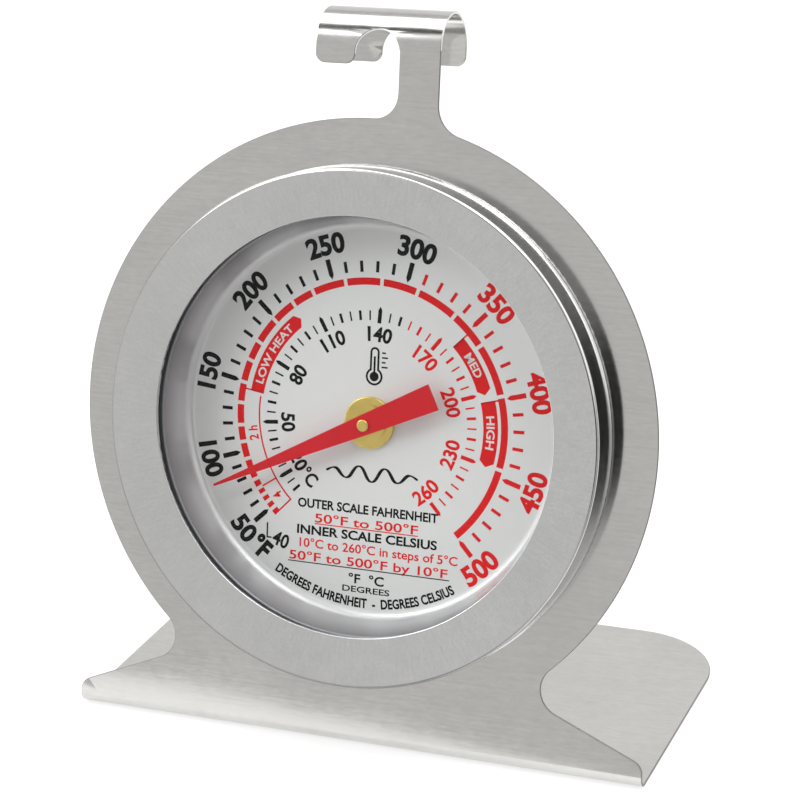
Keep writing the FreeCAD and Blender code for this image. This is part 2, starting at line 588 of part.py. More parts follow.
# saw slot that grips the coil's outer end, square to the post's radius from the axis
sk = new_sketch(post, "slot_outline", "XY_Plane", offset=D["post_front"])
ux, uy = cosine(pa), sine(pa)
hw, hl2 = D["post_slot"] / 2, D["post_rad"] * 1.5
mid_r = D["coil_out"]
mx, my = mid_r * ux, mid_r * uy
polygon(sk, [(mx + hw * ux - hl2 * uy, my + hw * uy + hl2 * ux), (mx - hw * ux - hl2 * uy, my - hw * uy + hl2 * ux),
             (mx - hw * ux + hl2 * uy, my - hw * uy - hl2 * ux), (mx + hw * ux + hl2 * uy, my + hw * uy - hl2 * ux)])
pocket(post, "slot", sk, 2 * (D["coil_front"] + D["coil_width"] + 0.15 - D["post_front"]), middle=True)

rivets = new_body("case_rivets")
rivets.AllowCompound = True
sk = new_sketch(rivets, "rivet_profile", "YZ_Plane")
rc = D["rivet_circle"]
polygon(sk, [(-rc, -ct - D["rivet_head_thick"]), (-rc + D["rivet_head"], -ct - D["rivet_head_thick"]),
             (-rc + D["rivet_head"], -ct), (-rc + D["rivet_shank"], -ct), (-rc + D["rivet_shank"], t),
             (-rc + D["rivet_tail"], t), (-rc + D["rivet_tail"], t + D["rivet_tail_thick"]),
             (-rc, t + D["rivet_tail_thick"])])
axis_line = sk.addGeometry(Part.LineSegment(V(-rc.v, 0, 0), V(-rc.v, 2, 0)), True)
sk.addConstraint(Sketcher.Constraint("Vertical", axis_line))
fix_point(sk, axis_line, 1, -rc, ZERO)
bind(sk, sk.addConstraint(Sketcher.Constraint("DistanceY", -1, 1, axis_line, 2, 2.0)), Num(2.0, "2"))
rv = rivets.newObject("PartDesign::Revolution", "rivet")
rv.Profile = sk
rv.ReferenceAxis = (sk, ["Axis0"])
rv.Angle = 360.0
doc.recompute()
dress(rivets, "Fillet", "tail_round", Num(0.25, "0.25"),
      lambda e: isinstance(e.Curve, Part.Circle) and abs(e.Curve.Radius - D["rivet_tail"].v) < 0.01
      and abs(e.Curve.Center.z - (t + D["rivet_tail_thick"]).v) < 0.01, 1)
pp = rivets.newObject("PartDesign::PolarPattern", "rivet_ring")
pp.Originals = [rv, rivets.Tip] if rivets.Tip is not rv else [rv]
axis_sketch = sk
pp.Axis = (plane(rivets, "XY_Plane"), [""]) if False else ([f for f in rivets.Origin.OriginFeatures if f.Role == "Z_Axis"][0], [""])
pp.Angle = 360.0
pp.Occurrences = 3
rivets.Tip = pp
doc.recompute()

# ================================================================ the bimetal coil (a flat spiral strip)
def spiral_edges(offset):
    """One face line of the strip as half-circle arcs, each half turn drawn about its own centre."""
    pitch = (sheet.coil_out - sheet.coil_in) / sheet.coil_turns
    ux, uy = math.cos(math.radians(sheet.coil_end_angle)), math.sin(math.radians(sheet.coil_end_angle))
    edges = []
    for j in range(int(round(2 * sheet.coil_turns))):
        sign = 1 if j % 2 == 0 else -1
        mid = sign * pitch / 4
        rad = sheet.coil_out - (2 * j + 1) * pitch / 4 + offset
        z = sheet.coil_front
        start = V((mid + sign * rad) * ux, (mid + sign * rad) * uy, z)
        end = V((mid - sign * rad) * ux, (mid - sign * rad) * uy, z)
        top = V(mid * ux + sign * rad * uy, mid * uy - sign * rad * ux, z)
        edges.append(Part.Arc(start, top, end).toShape())
    return edges


half = sheet.coil_thick / 2
outer = spiral_edges(half)
inner = spiral_edges(-half)
end_a = Part.makeLine(outer[0].Vertexes[0].Point, inner[0].Vertexes[0].Point)
end_b = Part.makeLine(outer[-1].Vertexes[-1].Point, inner[-1].Vertexes[-1].Point)
wire = Part.Wire(Part.__sortEdges__(outer + [end_a] + inner + [end_b]))
strip = Part.Face(wire).extrude(V(0, 0, sheet.coil_width))
coil = doc.addObject("Part::Feature", "bimetal_coil")
coil.Label = "bimetal_coil"
coil.Shape = strip
coil.Placement = FreeCAD.Placement(V(0, D["centre_back"].v, D["centre_up"].v),
                                   FreeCAD.Rotation(V(1, 0, 0), -90.0 - D["lean"].v))
coil.setExpression("Placement.Base.y", D["centre_back"].s)
coil.setExpression("Placement.Base.z", D["centre_up"].s)
parts.append(coil)

doc.recompute()

# ---------------------------------------------------------------- checks, then one file per sub-part
for obj in doc.Objects:
    if "Invalid" in obj.State or "Error" in obj.State:
        raise RuntimeError("%s did not compute: %s" % (obj.Label, obj.State))
for p in parts:
    if p.Shape.isNull() or not p.Shape.isValid():
        raise RuntimeError("%s has no valid shape" % p.Label)
    if len(p.Shape.Solids) != (3 if p.Label == "case_rivets" else 1):
        raise RuntimeError("%s has %d solids" % (p.Label, len(p.Shape.Solids)))

os.makedirs("parts", exist_ok=True)
box = FreeCAD.BoundBox()
for p in parts:
    p.Shape.exportStep("parts/%s.step" % p.Label)
    b = p.Shape.BoundBox
    box.add(b)
    print("%-18s vol %9.2f  x %7.2f %7.2f  y %7.2f %7.2f  z %7.2f %7.2f" % (
        p.Label, p.Shape.Volume, b.XMin, b.XMax, b.YMin, b.YMax, b.ZMin, b.ZMax))
print("whole: x %.3f %.3f y %.3f %.3f z %.3f %.3f" % (box.XMin, box.XMax, box.YMin, box.YMax, box.ZMin, box.ZMax))
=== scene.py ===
import json
import math

import bmesh
import bpy
import numpy as np
from mathutils import Matrix, Vector
from mathutils.geometry import delaunay_2d_cdt

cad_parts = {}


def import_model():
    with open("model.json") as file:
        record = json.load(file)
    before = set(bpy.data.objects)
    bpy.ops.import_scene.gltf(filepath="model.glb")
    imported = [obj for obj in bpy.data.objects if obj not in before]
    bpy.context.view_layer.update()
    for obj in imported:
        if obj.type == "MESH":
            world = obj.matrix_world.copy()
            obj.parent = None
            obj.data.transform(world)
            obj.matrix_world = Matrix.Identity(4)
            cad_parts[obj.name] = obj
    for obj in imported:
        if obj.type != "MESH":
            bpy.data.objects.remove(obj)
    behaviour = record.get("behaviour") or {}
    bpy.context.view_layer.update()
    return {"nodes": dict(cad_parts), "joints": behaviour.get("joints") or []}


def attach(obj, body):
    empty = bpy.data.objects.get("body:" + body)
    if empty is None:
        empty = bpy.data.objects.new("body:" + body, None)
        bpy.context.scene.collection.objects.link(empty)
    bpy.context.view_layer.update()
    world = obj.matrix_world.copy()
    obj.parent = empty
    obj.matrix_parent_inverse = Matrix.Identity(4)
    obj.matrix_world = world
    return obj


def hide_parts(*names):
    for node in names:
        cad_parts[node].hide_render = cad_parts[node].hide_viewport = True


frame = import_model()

nodes = frame["nodes"]
scene = bpy.context.scene

# ------------------------------------------------------------------ the plate frame
# origin on the dial's axis at the stand's front face, x right, y back through the plate, z up the plate (mm)
joint = [j for j in frame["joints"] if j["name"] == "pointer_turn"][0]
O = np.array(joint["pos_m"], float)
AY = np.array(joint["axis"], float)
AY /= np.linalg.norm(AY)
AX = np.array([1.0, 0.0, 0.0])
AZ = np.cross(AX, AY)
LEAN = math.atan2(-AY[2], AY[1])
CO, SI = math.cos(LEAN), math.sin(LEAN)


def world(p):
    """Plate-frame points in mm to row-frame metres."""
    p = np.atleast_2d(np.asarray(p, float)) * 0.001
    return O + p[:, 0:1] * AX + p[:, 1:2] * AY + p[:, 2:3] * AZ


# ------------------------------------------------------------------ material helpers
def srgb(r, g, b):
    f = lambda c: (c / 255 / 12.92) if c / 255 <= 0.04045 else ((c / 255 + 0.055) / 1.055) ** 2.4
    return (f(r), f(g), f(b), 1.0)


class Mat:
    def __init__(self, name):
        self.m = bpy.data.materials.new(name)
        self.m.use_nodes = True
        self.t = self.m.node_tree
        self.t.nodes.clear()
        self.out = self.t.nodes.new("ShaderNodeOutputMaterial")
        self.b = self.t.nodes.new("ShaderNodeBsdfPrincipled")
        self.link(self.b, "BSDF", self.out, "Surface")

    def link(self, a, ao, b, bi):
        self.t.links.new(a.outputs[ao], b.inputs[bi])

    def node(self, kind, **props):
        n = self.t.nodes.new(kind)
        for k, v in props.items():
            setattr(n, k, v)
        return n

    def set(self, **vals):
        for k, v in vals.items():
            self.b.inputs[k.replace("_", " ")].default_value = v

    def coords(self, uv=None, scale=(1, 1, 1), rot=(0, 0, 0)):
        if uv:
            c = self.node("ShaderNodeUVMap", uv_map=uv)
            o = "UV"
        else:
            c = self.node("ShaderNodeTexCoord")
            o = "Object"
        mp = self.node("ShaderNodeMapping")
        mp.inputs["Scale"].default_value = scale
        mp.inputs["Rotation"].default_value = rot
        self.link(c, o, mp, "Vector")
        return mp

    def noise(self, mp, scale, detail=4.0, rough=0.55, distortion=0.0):
        n = self.node("ShaderNodeTexNoise")
        n.inputs["Scale"].default_value = scale
        n.inputs["Detail"].default_value = detail
        n.inputs["Roughness"].default_value = rough
        n.inputs["Distortion"].default_value = distortion
        self.link(mp, "Vector", n, "Vector")
        return n

    def ramp(self, src, out, stops):
        r = self.node("ShaderNodeValToRGB")
        e = r.color_ramp.elements
        while len(e) < len(stops):
            e.new(0.5)
        for el, (pos, col) in zip(e, stops):
            el.position = pos
            el.color = col if len(col) == 4 else (*col, 1)
        self.link(src, out, r, "Fac")
        return r

    def maprange(self, src, out, a, b, c, d):
        m = self.node("ShaderNodeMapRange")
        m.inputs["From Min"].default_value = a
        m.inputs["From Max"].default_value = b
        m.inputs["To Min"].default_value = c
        m.inputs["To Max"].default_value = d
        self.link(src, out, m, "Value")
        return m

    def bump(self, height, hout, strength, distance):
        b = self.node("ShaderNodeBump")
        b.inputs["Strength"].default_value = strength
        b.inputs["Distance"].default_value = distance
        self.link(height, hout, b, "Height")
        return b


def mixed(m, a, ao, b, bo, fac):
    n = m.node("ShaderNodeMix", data_type="FLOAT")
    n.inputs[0].default_value = fac
    m.t.links.new(a.outputs[ao], n.inputs[2])
    m.t.links.new(b.outputs[bo], n.inputs[3])
    return n


# ------------------------------------------------------------------ mesh helpers
def finish_mesh(name, bm, mats, body="case", smooth=True, weighted=True, replaces=()):
    me = bpy.data.meshes.new(name)
    bmesh.ops.recalc_face_normals(bm, faces=bm.faces)
    bm.to_mesh(me)
    bm.free()
    ob = bpy.data.objects.new(name, me)
    scene.collection.objects.link(ob)
    for m in mats:
        me.materials.append(m.m if isinstance(m, Mat) else m)
    if smooth:
        for p in me.polygons:
            p.use_smooth = True
    if weighted:
        w = ob.modifiers.new("weighted", "WEIGHTED_NORMAL")
        w.keep_sharp = True
        w.weight = 60
    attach(ob, body)
    if replaces:
        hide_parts(*replaces)
    return ob


def rounded(points, steps=6):
    """Closed outline of (a, b, fillet) corners -> dense list of (a, b)."""
    out = []
    n = len(points)
    for i in range(n):
        p = np.array(points[i][:2], float)
        r = points[i][2] if len(points[i]) > 2 else 0.0
        q0, q1 = np.array(points[i - 1][:2], float), np.array(points[(i + 1) % n][:2], float)
        if r <= 0:
            out.append(tuple(p))
            continue
        u, v = q0 - p, q1 - p
        lu, lv = np.linalg.norm(u), np.linalg.norm(v)
        u, v = u / lu, v / lv
        ang = math.acos(max(-1, min(1, float(u @ v))))
        d = r / math.tan(ang / 2)
        d = min(d, 0.98 * lu, 0.98 * lv)
        r = d * math.tan(ang / 2)
        bis = (u + v) / np.linalg.norm(u + v)
        c = p + bis * r / math.sin(ang / 2)
        a0, a1 = p + u * d - c, p + v * d - c
        t0, t1 = math.atan2(a0[1], a0[0]), math.atan2(a1[1], a1[0])
        dt = (t1 - t0 + math.pi) % (2 * math.pi) - math.pi
        k = max(2, int(math.ceil(abs(dt) / (math.pi / 2) * steps)) + 1)
        for j in range(k + 1):
            t = t0 + dt * j / k
            out.append((c[0] + r * math.cos(t), c[1] + r * math.sin(t)))
    return out


def lathe(name, profile, mats, segs=256, body="case", replaces=(), wobble=None, mat_of=None, closed=True, uv=True):
    """Turns a closed (radius, y) outline about the head's axis."""
    bm = bmesh.new()
    layer = bm.loops.layers.uv.new("flat") if uv else None
    rings = []
    acc = 0.0
    lens = []
    for i, (r, y) in enumerate(profile):
        if i:
            acc += math.hypot(r - profile[i - 1][0], y - profile[i - 1][1])
        lens.append(acc)
        if r < 1e-6:
            rings.append([bm.verts.new(world((0, y, 0))[0])])
            continue
        pts = []
        for s in range(segs):
            a = 2 * math.pi * s / segs
            rr, yy = (r, y) if wobble is None else wobble(i, r, y, a)
            pts.append((rr * math.sin(a), yy, rr * math.cos(a)))
        rings.append([bm.verts.new(p) for p in world(pts)])
    n = len(rings)
    lens.append(acc + math.hypot(profile[0][0] - profile[-1][0], profile[0][1] - profile[-1][1]))
    for i in range(n if closed else n - 1):
        a, b = rings[i], rings[(i + 1) % n]
        if len(a) == 1 and len(b) == 1:
            continue
        for s in range(segs):
            s2 = (s + 1) % segs
            if len(a) == 1:
                f = bm.faces.new((a[0], b[s], b[s2]))
            elif len(b) == 1:
                f = bm.faces.new((a[s], b[0], a[s2]))
            else:
                f = bm.faces.new((a[s], b[s], b[s2], a[s2]))
            if mat_of:
                f.material_index = mat_of(i)
            if layer:
                for lp in f.loops:
                    v = lp.vert
                    if v in (a[s], a[s2]) if len(a) > 1 else v is a[0]:
                        vv = lens[i]
                    else:
                        vv = lens[i + 1]
                    uu = (s if (v is (a[s] if len(a) > 1 else a[0]) or v is (b[s] if len(b) > 1 else b[0])) else s + 1) / segs
                    lp[layer].uv = (uu, vv)
    return finish_mesh(name, bm, mats, body=body, replaces=replaces)


# ------------------------------------------------------------------ the stand: one folded sheet
T = 0.35
R_RING, FOOT_HALF = 38.0, 38.3
BEND_OUT = 1.5
TURN = math.pi / 2 + LEAN
Z_T = -41.3 + BEND_OUT * math.tan(TURN / 2)
BEND_MID = BEND_OUT - T / 2
FOOT_STRAIGHT = 43.0 - BEND_OUT * math.tan(TURN / 2)
S_BEND = Z_T - BEND_MID * TURN
S_FOOT = S_BEND - FOOT_STRAIGHT
HOOK_R, HOOK_Z = 4.7, 46.543
HOOK_MID = HOOK_R - T / 2
S_ROLL = HOOK_Z + HOOK_MID * math.pi
S_LIP = S_ROLL + (HOOK_Z - 44.4)


def sheet_point(x, s, h):
    """Flat pattern (x, s) and height h above the mid surface (towards the front) -> plate frame."""
    if s >= S_ROLL:
        y, z, ny, nz = HOOK_R + HOOK_MID, HOOK_Z - (s - S_ROLL), 1.0, 0.0
    elif s > HOOK_Z:
        a = (s - HOOK_Z) / HOOK_MID
        ny, nz = -math.cos(a), math.sin(a)
        y, z = HOOK_R + HOOK_MID * ny, HOOK_Z + HOOK_MID * nz
    elif s >= Z_T:
        y, z, ny, nz = T / 2, s, -1.0, 0.0
    elif s > S_BEND:
        b = (Z_T - s) / BEND_MID
        ny, nz = -math.cos(b), -math.sin(b)
        y, z = BEND_OUT + BEND_MID * ny, Z_T + BEND_MID * nz
    else:
        ny, nz = SI, -CO
        y0, z0 = BEND_OUT + BEND_MID * ny, Z_T + BEND_MID * nz
        d = S_BEND - s
        y, z = y0 + CO * d, z0 + SI * d
    return (x, y + h * ny, z + h * nz)


def arc_pts(c, r, a0, a1, step=2.0):
    """Points on a circle in (x, s), angles in degrees from +x, counter-clockwise if a1 > a0."""
    k = max(2, int(abs(a1 - a0) / step))
    return [(c[0] + r * math.cos(math.radians(a0 + (a1 - a0) * j / k)),
             c[1] + r * math.sin(math.radians(a0 + (a1 - a0) * j / k))) for j in range(k + 1)]


def dedupe(pts, eps=1e-4):
    out = []
    for p in pts:
        if not out or math.hypot(p[0] - out[-1][0], p[1] - out[-1][1]) > eps:
            out.append(p)
    while math.hypot(out[0][0] - out[-1][0], out[0][1] - out[-1][1]) < eps:
        out.pop()
    return out


def deg(x, y):
    return math.degrees(math.atan2(y, x))


def stand_outline():
    tip_z, root_x, root_z = -38.04, 21.0, -30.774
    slope = (tip_z - root_z) / (FOOT_HALF - root_x)
    # right notch fillet: tangent to the wing's upper edge and to the ring
    rn = 3.3
    norm = math.hypot(1, slope)
    b = root_z - slope * root_x
    qa, qb = 1 + slope * slope, 2 * slope * (b + rn * norm)
    qc = (b + rn * norm) ** 2 - (R_RING + rn) ** 2
    cx = (-qb + math.sqrt(qb * qb - 4 * qa * qc)) / (2 * qa)
    cz = slope * cx + b + rn * norm
    line_pt = (cx + rn * slope / norm, cz - rn / norm)
    # wing tip fillet, between the wing's edge and the upright end
    rt = 1.8
    a_line = math.atan(slope)
    turn = math.pi / 2 + a_line
    d = rt * math.tan((math.pi - (math.pi - turn)) / 2) if False else rt * math.tan(turn / 2)
    tcx, tcz = FOOT_HALF - rt, None
    # centre lies rt below the edge and rt inside the end
    tcz = slope * tcx + b - rt * norm
    tip = arc_pts((tcx, tcz), rt, 0, 90 + math.degrees(a_line), 6)
    notch = arc_pts((cx, cz), rn, deg(line_pt[0] - cx, line_pt[1] - cz), deg(-cx, -cz) - (360 if deg(-cx, -cz) > deg(line_pt[0] - cx, line_pt[1] - cz) else 0), 6)
    a_ring0 = deg(cx, cz)
    # stem root, right
    r2 = 3.8
    c2 = (8.3 + r2, math.sqrt((R_RING + r2) ** 2 - (8.3 + r2) ** 2))
    ring_r = arc_pts((0, 0), R_RING, a_ring0, deg(*c2), 1.5)
    root_r = arc_pts(c2, r2, deg(-c2[0], -c2[1]) + 360, 180, 6)
    pts = []
    pts += arc_pts((-FOOT_HALF + 12, S_FOOT + 12), 12, 180, 270, 3)
    pts += arc_pts((FOOT_HALF - 12, S_FOOT + 12), 12, -90, 0, 3)
    pts += tip
    pts += notch
    pts += ring_r
    pts += root_r
    rc = 1.25
    xl, xr, nl, nr = -8.0, 8.3, -2.8, 3.0

    def fold_z(z):
        return z if z <= HOOK_Z else HOOK_Z + HOOK_MID * math.asin((z - HOOK_Z) / HOOK_MID)

    def fold_back(s):
        return HOOK_Z + S_ROLL - s

    nzc, nr_, nxc = 45.8, 2.9, 0.1
    notch_f = [(x, fold_z(z)) for x, z in arc_pts((nxc, nzc), nr_, 180, 0, 5)]
    notch_b = [(x, fold_back(s)) for x, s in notch_f][::-1]
    pts += arc_pts((xr - rc, S_LIP - rc), rc, 0, 90, 10)
    pts += arc_pts((nr + rc, S_LIP - rc), rc, 90, 180, 10)
    pts += notch_b
    pts += arc_pts((nl - rc, S_LIP - rc), rc, 0, 90, 10)
    pts += arc_pts((xl + rc, S_LIP - rc), rc, 90, 180, 10)
    lip = 44.4
    pts += arc_pts((xl + rc, lip + rc), rc, 180, 270, 10)
    pts += arc_pts((nl - rc, lip + rc), rc, 270, 360, 10)
    pts += notch_f
    r1 = 3.0
    c1 = (3.0 - r1, math.sqrt((R_RING + r1) ** 2 - (3.0 - r1) ** 2))
    pts += arc_pts(c1, r1, 0, deg(-c1[0], -c1[1]), 6)
    ring_l = arc_pts((0, 0), R_RING, deg(*c1), 180 - a_ring0, 1.5)
    pts += ring_l
    pts += [(-x, s) for x, s in notch][::-1]
    pts += [(-x, s) for x, s in tip][::-1]
    return dedupe(pts)


def with_rows(outline, rows):
    """Adds a corner wherever the outline crosses one of the rows of s."""
    out = []
    n = len(outline)
    for i in range(n):
        p, q = outline[i], outline[(i + 1) % n]
        out.append(p)
        cuts = []
        for s in rows:
            if (p[1] - s) * (q[1] - s) < -1e-9:
                f = (s - p[1]) / (q[1] - p[1])
                if 1e-3 < f < 1 - 1e-3:
                    cuts.append((f, (p[0] + (q[0] - p[0]) * f, s)))
        out += [c for _, c in sorted(cuts)]
    return dedupe(out, 2e-3)


def inset(outline, d):
    n = len(outline)
    P = np.array(outline)
    nxt, prv = np.roll(P, -1, 0), np.roll(P, 1, 0)
    e1, e0 = nxt - P, P - prv
    e1 /= np.linalg.norm(e1, axis=1)[:, None]
    e0 /= np.linalg.norm(e0, axis=1)[:, None]
    n1 = np.stack([-e1[:, 1], e1[:, 0]], 1)
    n0 = np.stack([-e0[:, 1], e0[:, 0]], 1)
    m = n0 + n1
    m /= np.linalg.norm(m, axis=1)[:, None]
    k = 1 / np.maximum(0.6, (m * n1).sum(1))
    return P + m * (d * k)[:, None]


def crossings(P, s):
    xs = []
    n = len(P)
    for i in range(n):
        a, b = P[i], P[(i + 1) % n]
        if (a[1] - s) * (b[1] - s) < 0 or (abs(a[1] - s) < 1e-9 and (b[1] - s) != 0 and (P[i - 1][1] - s) * (b[1] - s) < 0):
            f = (s - a[1]) / (b[1] - a[1])
            xs.append(a[0] + (b[0] - a[0]) * f)
    return sorted(xs)


def build_stand(mat, edge_mat):
    bend_rows = list(np.linspace(S_BEND, Z_T, 15))
    roll_rows = list(np.linspace(HOOK_Z, S_ROLL, 41))
    rows = bend_rows + roll_rows
    outline = with_rows(stand_outline(), rows)
    hole = arc_pts((0, 0), 27.8, 0, 360, 3)[:-1]
    rho, K = 0.08, 3
    loops = []
    for outer in (outline, hole[::-1]):
        loops.append((outer, [inset(outer, rho * (1 - math.sin(math.pi / 2 * k / K))) for k in range(K + 1)]))
    ins = [lp[1][0] for lp in loops]
    verts = [Vector((float(x), float(s))) for P in ins for x, s in P]
    n0 = len(ins[0])
    faces = [list(range(n0)), list(range(n0, n0 + len(ins[1])))]
    edges = []
    # rows of short edges across the bends, kept just inside the outline
    for s in rows:
        xs = crossings(ins[0], s)
        for a, b in zip(xs[::2], xs[1::2]):
            if b - a < 0.3:
                continue
            k = max(1, int((b - a) / 2.5))
            base = len(verts)
            for j in range(k + 1):
                x = a + 0.04 + (b - a - 0.08) * j / k
                verts.append(Vector((x, float(s))))
                if j:
                    edges.append((base + j - 1, base + j))
    # loose points over the flats keep the triangles well shaped
    for s in np.arange(S_FOOT + 3, S_BEND - 1, 4.0):
        for x in np.arange(-36, 36.1, 4.0):
            if abs(x) > FOOT_HALF - 12 and s < S_FOOT + 12 and math.hypot(abs(x) - FOOT_HALF + 12, s - S_FOOT - 12) > 11.5:
                continue
            verts.append(Vector((float(x), float(s))))
    vo, eo, fo, ov, oe, of_ = delaunay_2d_cdt(verts, edges, faces, 2, 1e-6)
    bm = bmesh.new()
    uvl = bm.loops.layers.uv.new("flat")
    flat = {}

    def add(x, s, h):
        v = bm.verts.new(world(sheet_point(x, s, h))[0])
        flat[v] = (x, s)
        return v

    top = [add(v.x, v.y, T / 2) for v in vo]
    bot = [add(v.x, v.y, -T / 2) for v in vo]
    for f in fo:
        bm.faces.new([top[i] for i in f])
        bm.faces.new([bot[i] for i in reversed(f)])
    # which output vertex stands for each outline vertex
    where = {}
    for i, src in enumerate(ov):
        for k in src:
            where[k] = i
    start = 0
    for outer, steps in loops:
        n = len(outer)
        ring_t = [top[where[start + i]] for i in range(n)]
        ring_b = [bot[where[start + i]] for i in range(n)]
        chain = [ring_t]
        for k in range(1, K + 1):
            h = T / 2 - rho * (1 - math.cos(math.pi / 2 * k / K))
            chain.append([add(x, s, h) for x, s in steps[k]])
        for k in range(K, 0, -1):
            h = -(T / 2 - rho * (1 - math.cos(math.pi / 2 * k / K)))
            chain.append([add(x, s, h) for x, s in steps[k]])
        chain.append(ring_b)
        for a, b in zip(chain, chain[1:]):
            for i in range(n):
                j = (i + 1) % n
                if a[i] is a[j] or b[i] is b[j]:
                    continue
                f = bm.faces.new((a[i], b[i], b[j], a[j]))
                # painted shade: edge faces below the hook get the dark edge material, standing in for the dark line of
                # shade along the sheet's edges; the hook's edges keep the brushed sheet finish
                if flat[a[i]][1] < 45.5:
                    f.material_index = 1
        start += n
    for f in bm.faces:
        for lp in f.loops:
            x, s = flat[lp.vert]
            lp[uvl].uv = (s / 100.0, x / 100.0)
    return finish_mesh("stand_sheet", bm, [mat, edge_mat], replaces=("stand_plate",))


# ------------------------------------------------------------------ materials
def steel(name, base, rough, aniso=0.0, uv="flat", along=(1.5, 90.0, 1.0), grain=60.0, grain_bump=0.0006, vary=0.05, tangent="u", warm=0.0, blotch=0.06, span=(0.36, 0.64)):
    m = Mat(name)
    m.set(Metallic=1.0)
    # fine grain stretched along the rolling direction
    mp = m.coords(uv, scale=along)
    g = m.noise(mp, grain, 6.0, 0.65)
    mp2 = m.coords(uv, scale=(along[0] * 2.2, along[1] * 0.35, 1.0))
    g2 = m.noise(mp2, grain * 0.5, 4.0, 0.6)
    mix = mixed(m, g, "Fac", g2, "Fac", 0.45)
    # slow cloudiness
    mp3 = m.coords(None, scale=(1, 1, 1))
    c = m.noise(mp3, 45.0, 3.0, 0.6)
    c2 = m.noise(mp3, 420.0, 3.0, 0.6)
    cl = mixed(m, c, "Fac", c2, "Fac", 0.35)
    tot = mixed(m, mix, 0, cl, 0, 0.45)
    b = np.array(base)
    col = m.ramp(tot, 0, [(span[0], tuple(b * (1 - vary)) + (1,)), (0.5, tuple(b) + (1,)), (span[1], tuple(np.minimum(1, b * (1 + vary))) + (1,))])
    m.link(col, "Color", m.b, "Base Color")
    rr = m.maprange(tot, 0, span[0], span[1], rough - blotch, rough + blotch)
    m.link(rr, "Result", m.b, "Roughness")
    bp = m.bump(mix, 0, 0.5, grain_bump)
    m.link(bp, "Normal", m.b, "Normal")
    if aniso:
        m.b.inputs["Anisotropic"].default_value = aniso
        if uv:
            tg = m.node("ShaderNodeTangent", direction_type="UV_MAP", uv_map=uv)
            m.link(tg, "Tangent", m.b, "Tangent")
    return m


M_STAND = steel("stand_brushed", (0.655, 0.65, 0.635), 0.13, aniso=0.75, along=(45.0, 12.0, 1.0), grain=5.0, grain_bump=0.000006, vary=0.09, blotch=0.03)
# painted shade: the sheet's cut edges are coloured dark for the dark line of shade along them
M_EDGE_SHADE = steel("stand_edge_painted_shade", (0.24, 0.235, 0.23), 0.45, uv=None, along=(1, 1, 1), grain=900.0, grain_bump=0.00001, vary=0.15)
M_BEZEL = steel("bezel_satin", (0.70, 0.70, 0.70), 0.17, aniso=0.0, along=(60.0, 0.35, 1.0), grain=8.0, grain_bump=0.000006, vary=0.08)
M_CASE = steel("case_drawn", (0.58, 0.58, 0.585), 0.34, uv=None, along=(1, 1, 1), grain=260.0, grain_bump=0.00001, vary=0.10)
M_SPACER = steel("spacer_drawn", (0.60, 0.61, 0.63), 0.32, uv=None, along=(1, 1, 1), grain=260.0, grain_bump=0.00001, vary=0.08)
M_DIAL = steel("dial_silver", (0.82, 0.82, 0.817), 0.5, aniso=0.0, along=(60.0, 6.0, 1.0), grain=8.0, grain_bump=0.000004, vary=0.02, blotch=0.03)
M_DIALWALL = steel("dial_wall", (0.72, 0.725, 0.74), 0.42, aniso=0.0, along=(200.0, 3.0, 1.0), grain=6.0, grain_bump=0.00001, vary=0.06)
M_DIAL.set(Metallic=0.2)
M_DIALWALL.set(Metallic=0.75)


def shade_over(m, tint):
    """Multiplies a material's base colour by a colour output."""
    mul = m.node("ShaderNodeMix", data_type="RGBA", blend_type="MULTIPLY")
    mul.inputs[0].default_value = 1.0
    old = m.b.inputs["Base Color"].links[0].from_socket
    m.t.links.new(old, mul.inputs[6])
    m.t.links.new(tint, mul.inputs[7])
    m.t.links.new(mul.outputs[2], m.b.inputs["Base Color"])


# painted shade: the pan's wall is coloured darker from the dial's edge up to the glass, where the bezel's lip shades
# the recess
sep = M_DIALWALL.node("ShaderNodeSeparateXYZ")
M_DIALWALL.link(M_DIALWALL.coords("flat", scale=(1.0, 1.0, 1.0)), "Vector", sep, "Vector")
rise = M_DIALWALL.maprange(sep, "Y", 23.2, 28.6, 0.0, 1.0)
shade_over(M_DIALWALL, M_DIALWALL.ramp(rise, "Result", [(0.0, (1, 1, 1, 1)), (0.3, (0.9, 0.9, 0.9, 1)), (1.0, (0.36, 0.37, 0.39, 1))]).outputs["Color"])

# painted shade: the bezel's brow is coloured darker along its left and lower side, where it lies in shade
sep = M_BEZEL.node("ShaderNodeSeparateXYZ")
M_BEZEL.link(M_BEZEL.coords("flat", scale=(1.0, 1.0, 1.0)), "Vector", sep, "Vector")
across = M_BEZEL.ramp(M_BEZEL.maprange(sep, "Y", 5.0, 7.5, 0.0, 1.0), "Result",
                      [(0.28, (1, 1, 1, 1)), (0.34, (0.34, 0.33, 0.32, 1)), (0.58, (0.34, 0.33, 0.32, 1)), (0.64, (1, 1, 1, 1))])
around = M_BEZEL.ramp(sep, "X", [(0.34, (0, 0, 0, 1)), (0.44, (1, 1, 1, 1)), (0.88, (1, 1, 1, 1)), (0.96, (0, 0, 0, 1))])
brow_shade_mix = M_BEZEL.node("ShaderNodeMix", data_type="RGBA")
M_BEZEL.t.links.new(around.outputs["Color"], brow_shade_mix.inputs[0])
brow_shade_mix.inputs[6].default_value = (1, 1, 1, 1)
M_BEZEL.t.links.new(across.outputs["Color"], brow_shade_mix.inputs[7])
shade_over(M_BEZEL, brow_shade_mix.outputs[2])


